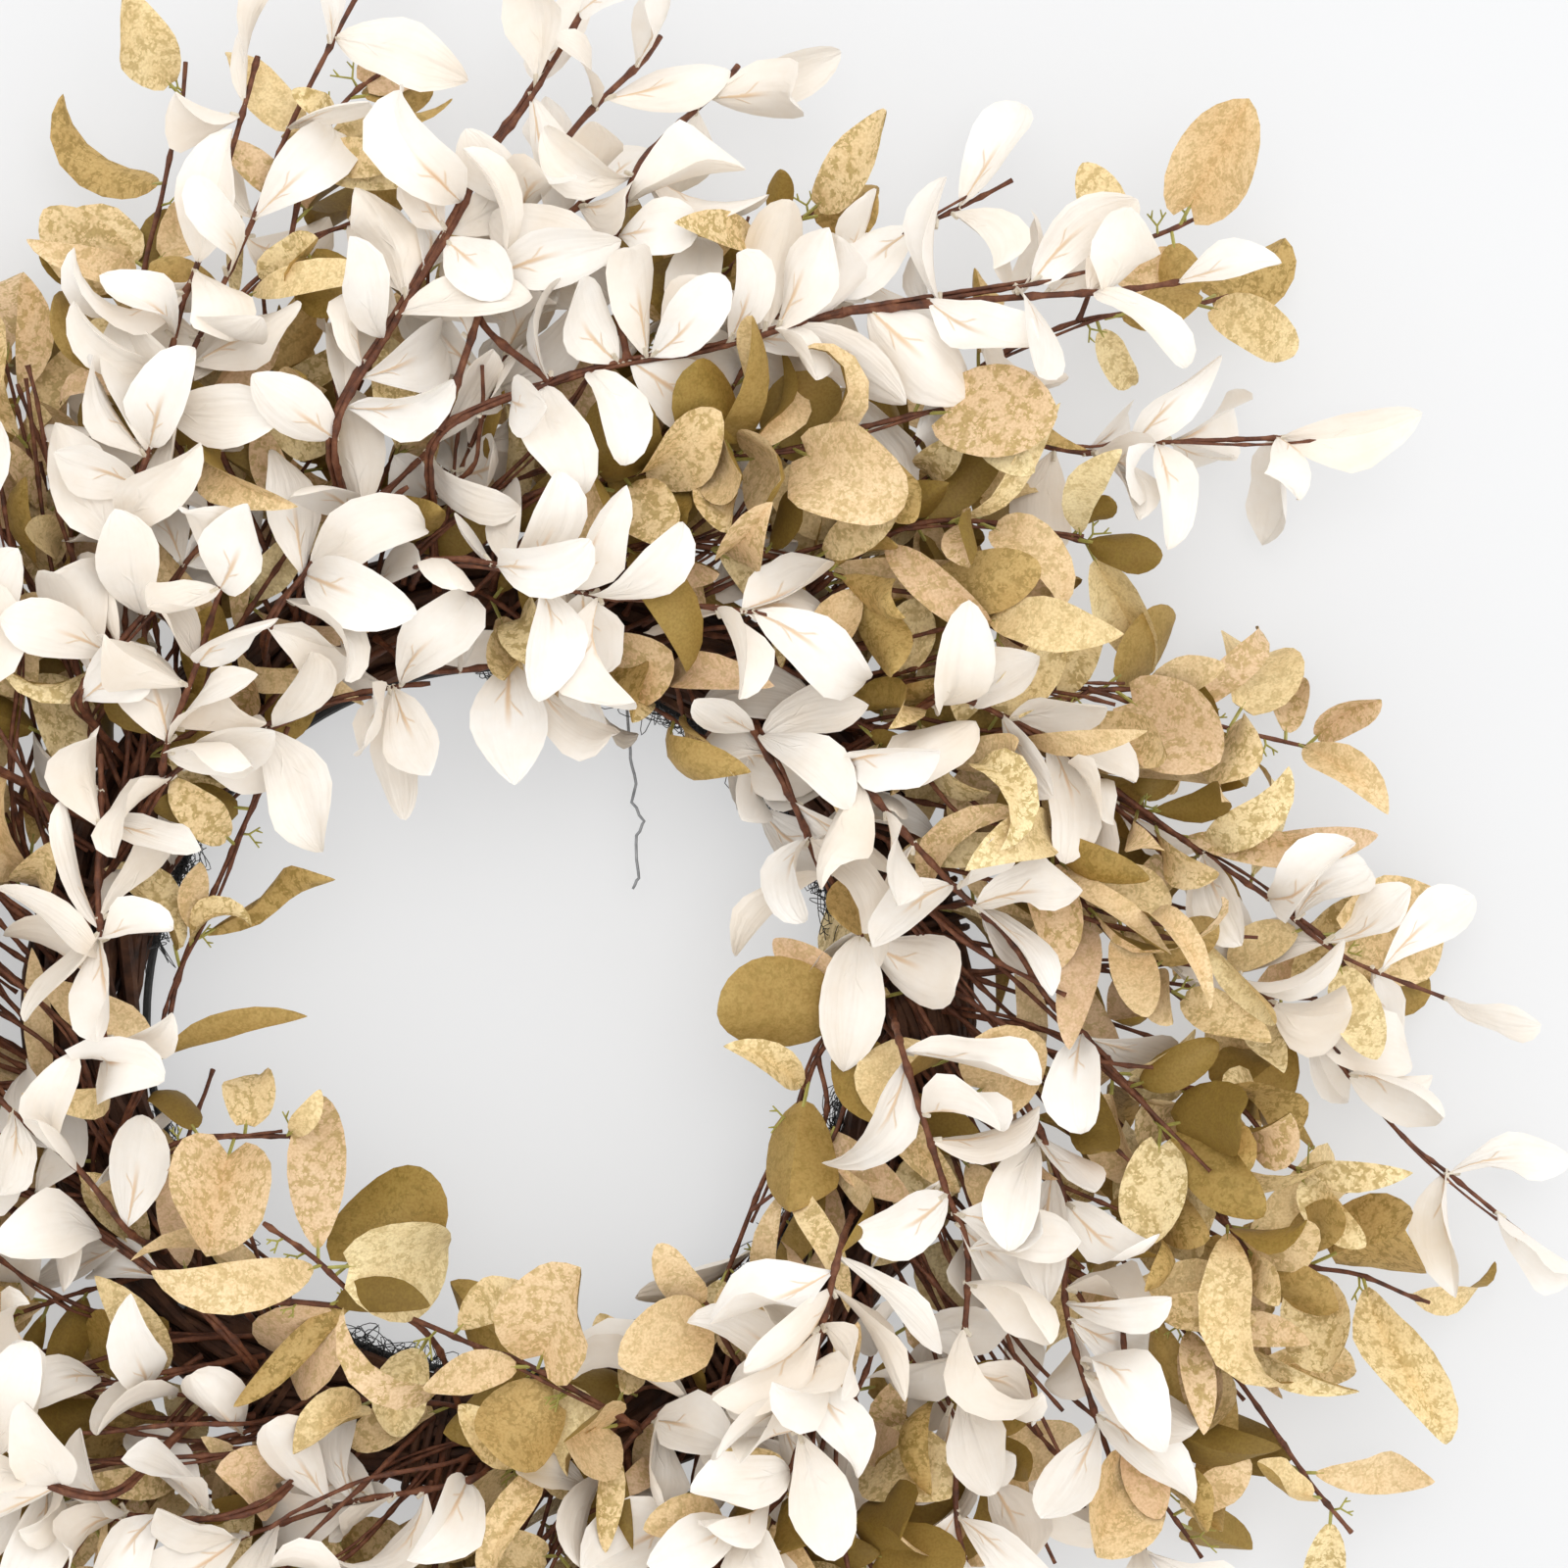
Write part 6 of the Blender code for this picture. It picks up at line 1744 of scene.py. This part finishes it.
def cream_material(name, whites, rib_from):
    """Soft foam: nearly white, each leaf a little warmer or paler, with a tan rib on some."""
    look, tree, shader = new_material(name, 0.62)
    shader.inputs["Sheen Weight"].default_value = 0.35
    shader.inputs["Sheen Roughness"].default_value = 0.5
    shader.inputs["Sheen Tint"].default_value = (1.0, 0.96, 0.9, 1.0)
    tone, colours = toned(tree, whites)
    blush = mottled(tree, shader, 60.0, ((0.35, WHITE), (0.7, (0.95, 0.915, 0.87))), 0.1, 0.0002)
    tint = tinting(tree)
    rib = node(tree, "ShaderNodeGroup", node_tree=RIB)
    shown = maths(tree, "GREATER_THAN", rib_from)
    mask = maths(tree, "MULTIPLY")
    rough = shader.inputs["Normal"].links[0].from_node
    blade = node(tree, "ShaderNodeUVMap", uv_map="blade")
    drawn_out = node(tree, "ShaderNodeVectorMath", operation="MULTIPLY")
    drawn_out.inputs[1].default_value = CREASE_STRETCH
    shifted = node(tree, "ShaderNodeVectorMath", operation="ADD")
    own = maths(tree, "MULTIPLY", CREASE_SHIFT)
    creases = node(tree, "ShaderNodeTexNoise", Scale=1.0, Detail=2.0, Roughness=0.45)
    soft = node(tree, "ShaderNodeBump", Strength=0.5, Distance=0.0014)
    ridge = node(tree, "ShaderNodeBump", Strength=0.5, Distance=0.0005)
    tan = node(tree, "ShaderNodeMix", data_type="RGBA")
    tan.inputs[7].default_value = RIB_TAN
    link(tree, [
        ((colours, "Color"), (tint, 6)), ((blush, "Color"), (tint, 7)), ((tint, 2), (tan, 6)),
        ((tone, "Fac"), (shown, 0)), ((shown, 0), (mask, 0)), ((rib, "Mask"), (mask, 1)),
        ((mask, 0), (tan, 0)), ((tan, 2), (shader, "Base Color")),
        ((blade, "UV"), (drawn_out, 0)), ((drawn_out, 0), (shifted, 0)), ((tone, "Fac"), (own, 0)),
        ((own, 0), (shifted, 1)), ((shifted, 0), (creases, "Vector")), ((creases, "Fac"), (soft, "Height")),
        ((soft, "Normal"), (ridge, "Normal")), ((rib, "Mask"), (ridge, "Height")),
        ((ridge, "Normal"), (rough, "Normal")),
    ])
    return look


cream_face = cream_material("cream_face", (
    (0.0, (0.93, 0.868, 0.785)), (0.35, (0.945, 0.9, 0.835)), (1.0, (0.95, 0.92, 0.875))), 0.5)
cream_back = cream_material("cream_back", (
    (0.0, (0.92, 0.845, 0.745)), (0.5, (0.935, 0.875, 0.795)), (1.0, (0.95, 0.9, 0.835))), 0.3)
sleeve_look = plain("clear_sleeve", 0.3, 500.0, ((0.3, (0.6, 0.52, 0.4)), (0.7, (0.8, 0.74, 0.62))),
                    0.1, 0.0002)


def crackle_group():
    """Printed crackle: wandering lines between small cells, broken up in patches."""
    group = new_group("crackle", ("Width",), ("Mask",))
    into = group.nodes.new("NodeGroupInput")
    out = group.nodes.new("NodeGroupOutput")
    place = group.nodes.new("ShaderNodeTexCoord")
    wander = node(group, "ShaderNodeTexNoise", Scale=420.0, Detail=2.0)
    centred = node(group, "ShaderNodeVectorMath", operation="SUBTRACT")
    centred.inputs[1].default_value = (0.5, 0.5, 0.5)
    sized = node(group, "ShaderNodeVectorMath", operation="SCALE")
    sized.inputs[3].default_value = PRINT_WANDER
    moved = node(group, "ShaderNodeVectorMath", operation="ADD")
    cells = node(group, "ShaderNodeTexVoronoi", feature="DISTANCE_TO_EDGE", Scale=280.0)
    press = node(group, "ShaderNodeTexNoise", Scale=340.0, Detail=2.0)
    pressed = node(group, "ShaderNodeMapRange", From_Min=0.36, From_Max=0.64, To_Min=0.1, To_Max=2.3)
    width = maths(group, "MULTIPLY")
    dots = node(group, "ShaderNodeTexNoise", Scale=1300.0, Detail=1.0)
    specks = eased(group, 0.63, 0.72)
    both = maths(group, "MAXIMUM")
    line = eased(group, 0.0, 1.0, 1.0, 0.0)
    wider = maths(group, "MULTIPLY", 2.2)
    patch = node(group, "ShaderNodeTexNoise", Scale=230.0, Detail=2.0)
    broken = eased(group, 0.4, 0.54)
    mask = maths(group, "MULTIPLY")
    link(group, [
        ((place, "Object"), (wander, "Vector")), ((wander, "Color"), (centred, 0)),
        ((centred, 0), (sized, 0)), ((place, "Object"), (moved, 0)), ((sized, 0), (moved, 1)),
        ((moved, 0), (cells, "Vector")),
        ((place, "Object"), (press, "Vector")), ((press, "Fac"), (pressed, "Value")),
        ((pressed, "Result"), (width, 0)), ((into, "Width"), (width, 1)),
        ((cells, "Distance"), (line, "Value")), ((width, 0), (line, "From Min")),
        ((width, 0), (wider, 0)), ((wider, 0), (line, "From Max")),
        ((place, "Object"), (dots, "Vector")), ((dots, "Fac"), (specks, "Value")),
        ((place, "Object"), (patch, "Vector")), ((patch, "Fac"), (broken, "Value")),
        ((line, "Result"), (both, 0)), ((specks, "Result"), (both, 1)),
        ((both, 0), (mask, 0)), ((broken, "Result"), (mask, 1)), ((mask, 0), (out, "Mask")),
    ])
    return group


CRACKLE = crackle_group()


def gold_material(name, faces, line, width, roughness):
    """Printed cloth: each leaf's own gold in soft patches, under a crackle of olive lines."""
    look, tree, shader = new_material(name, roughness)
    shader.inputs["Specular IOR Level"].default_value = 0.35
    tone, colours = toned(tree, faces)
    blush = mottled(tree, shader, 75.0, ((0.35, (0.93, 0.89, 0.83)), (0.65, WHITE)), 0.35, 0.0003)
    tint = tinting(tree)
    crackle = node(tree, "ShaderNodeGroup", node_tree=CRACKLE, Width=width)
    printed = node(tree, "ShaderNodeMix", data_type="RGBA")
    printed.inputs[7].default_value = (*line, 1.0)
    strong = maths(tree, "PINGPONG", PRINT_CYCLE)
    stronger = node(tree, "ShaderNodeMapRange", From_Max=PRINT_CYCLE, To_Min=0.28, To_Max=0.78)
    inked = maths(tree, "MULTIPLY")
    place = tree.nodes.new("ShaderNodeTexCoord")
    grain = node(tree, "ShaderNodeTexNoise", Scale=1100.0, Detail=1.0)
    grains = ramp(tree, (0.36, (0.87, 0.83, 0.77)), (0.6, WHITE))
    woven = tinting(tree)
    link(tree, [
        ((colours, "Color"), (tint, 6)), ((blush, "Color"), (tint, 7)), ((tint, 2), (printed, 6)),
        ((tone, "Fac"), (strong, 0)), ((strong, 0), (stronger, "Value")), ((crackle, "Mask"), (inked, 0)),
        ((stronger, "Result"), (inked, 1)), ((inked, 0), (printed, 0)),
        ((place, "Object"), (grain, "Vector")),
        ((grain, "Fac"), (grains, "Fac")), ((printed, 2), (woven, 6)), ((grains, "Color"), (woven, 7)),
        ((woven, 2), (shader, "Base Color")),
    ])
    return look


gold_face = gold_material("gold_face", (
    (0.0, (0.8, 0.575, 0.375)), (0.3, (0.88, 0.675, 0.405)), (0.65, (0.93, 0.74, 0.415)),
    (1.0, (0.96, 0.82, 0.49))), (0.46, 0.325, 0.1), 0.07, 0.62)
gold_back = gold_material("gold_back", (
    (0.0, (0.2, 0.125, 0.022)), (0.5, (0.38, 0.25, 0.058)), (1.0, (0.64, 0.45, 0.18))),
    (0.26, 0.17, 0.03), 0.06, 0.62)
stalk_look = plain("green_stalk", 0.5, 240.0, ((0.3, (0.3, 0.28, 0.06)), (0.7, (0.5, 0.46, 0.13))), 0.2)
LOOKS = {
    "cream": (stem_look, cream_face, cream_back, sleeve_look),
    "gold": (stem_look, gold_face, gold_back, stalk_look),
}

# Sprays, bare stems and the under layer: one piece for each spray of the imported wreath, which it
# stands in for, and one for each sector of the rest. Every stem is made first, and then each leaf
# takes its finished form as far as it stays clear of the stems and the leaves that are there.
sheaves = {}
for name, radius, stems, turn in all_sprays():
    if name not in grown:
        continue
    sheaf, draw = Sheaf(name), random.Random(f"{SEED} {name} finish")
    sheaves[name] = sheaf, grown[name][0], draw
    for number, path in enumerate(routes[name]):
        if path:
            size = radius if number == 0 else FORK_SIZE * radius
            bark_tube(sheaf, path, size, draw, number == 0 and draw.random() < TWIN_SHARE)
            for share in draw.sample(FORK_NODES, 2) if name.startswith("gold") else ():
                place, ahead = place_on(path, share)
                aside = ahead.cross(Vector((0, 0, draw.choice((-1, 1)))))
                green_fork(sheaf, place, (ahead * 0.4 + aside + Vector((0, 0, 0.5))).normalized(), draw)
for name, paths in bare.items():
    sheaf, draw = Sheaf(name), random.Random(f"{SEED} {name} finish")
    sheaves[name] = sheaf, [], draw
    for path in paths:
        bark_tube(sheaf, path, BARE_STEM, draw, draw.random() < BARE_TWIN)
for name, (paths, leaves, _) in under.items():
    sheaf, draw = Sheaf(name), random.Random(f"{SEED} {name} finish")
    sheaves[name] = sheaf, leaves, draw
    for path in paths:
        bark_tube(sheaf, path, UNDER_STEM, draw, False)
for name, (sheaf, leaves, draw) in sheaves.items():
    colour = name.split("_")[0]
    for leaf in leaves:
        finished_leaf(sheaf, leaf, draw)
    if name in bare:
        piece = sheaf.piece(name, (stem_look,))
    else:
        piece = sheaf.piece(f"{name}_leafy" if name in grown else name, LOOKS[colour])
    if name in grown:
        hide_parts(name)
    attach(piece, "root")

# Studio: a pale floor under the wreath, soft light from all round with one large soft lamp, and
# the camera straight above the upper right of the wreath.
FLOOR_SIZE = 30.0
FLOOR_GLOW = 0.475
SKY_LIGHT = 1.08
LAMP_SIZE = 1.9
LAMP_POWER = 15.0
LAMP_PLACE = (0.35, 0.6, 2.3)
LENS = 102.0
SENSOR = 36.0

bpy.ops.object.select_all(action="DESELECT")
bpy.ops.mesh.primitive_plane_add(size=FLOOR_SIZE)
floor = bpy.context.object
floor.name = "floor"
floor_look = plain("pale_floor", 0.9, 3.0, ((0.3, (0.37, 0.37, 0.373)), (0.7, (0.382, 0.383, 0.386))),
                   0.02, 0.0002)
shader = floor_look.node_tree.nodes["Principled BSDF"]
shader.inputs["Specular IOR Level"].default_value = 0.1
shader.inputs["Emission Color"].default_value = (0.98, 0.99, 1.0, 1.0)
shader.inputs["Emission Strength"].default_value = FLOOR_GLOW
floor.data.materials.append(floor_look)

sky = bpy.data.worlds.new("soft_studio")
bpy.context.scene.world = sky
sky.use_nodes = True
glow = sky.node_tree.nodes["Background"]
glow.inputs["Color"].default_value = (*WHITE, 1.0)
glow.inputs["Strength"].default_value = SKY_LIGHT
lamp = bpy.data.lights.new("soft_box", "AREA")
lamp.shape = "DISK"
lamp.size = LAMP_SIZE
lamp.energy = LAMP_POWER
lamp_holder = bpy.data.objects.new("soft_box", lamp)
lamp_holder.location = LAMP_PLACE
lamp_holder.rotation_euler = (MIDDLE - lamp_holder.location).to_track_quat("-Z", "Y").to_euler()
bpy.context.scene.collection.objects.link(lamp_holder)

camera = bpy.data.cameras.new("camera")
camera.lens = LENS
camera.sensor_width = SENSOR
viewer = bpy.data.objects.new("camera", camera)
viewer.location = placed(EYE)
bpy.context.scene.collection.objects.link(viewer)
bpy.context.scene.camera = viewer
bpy.context.scene.view_settings.view_transform = "Standard"
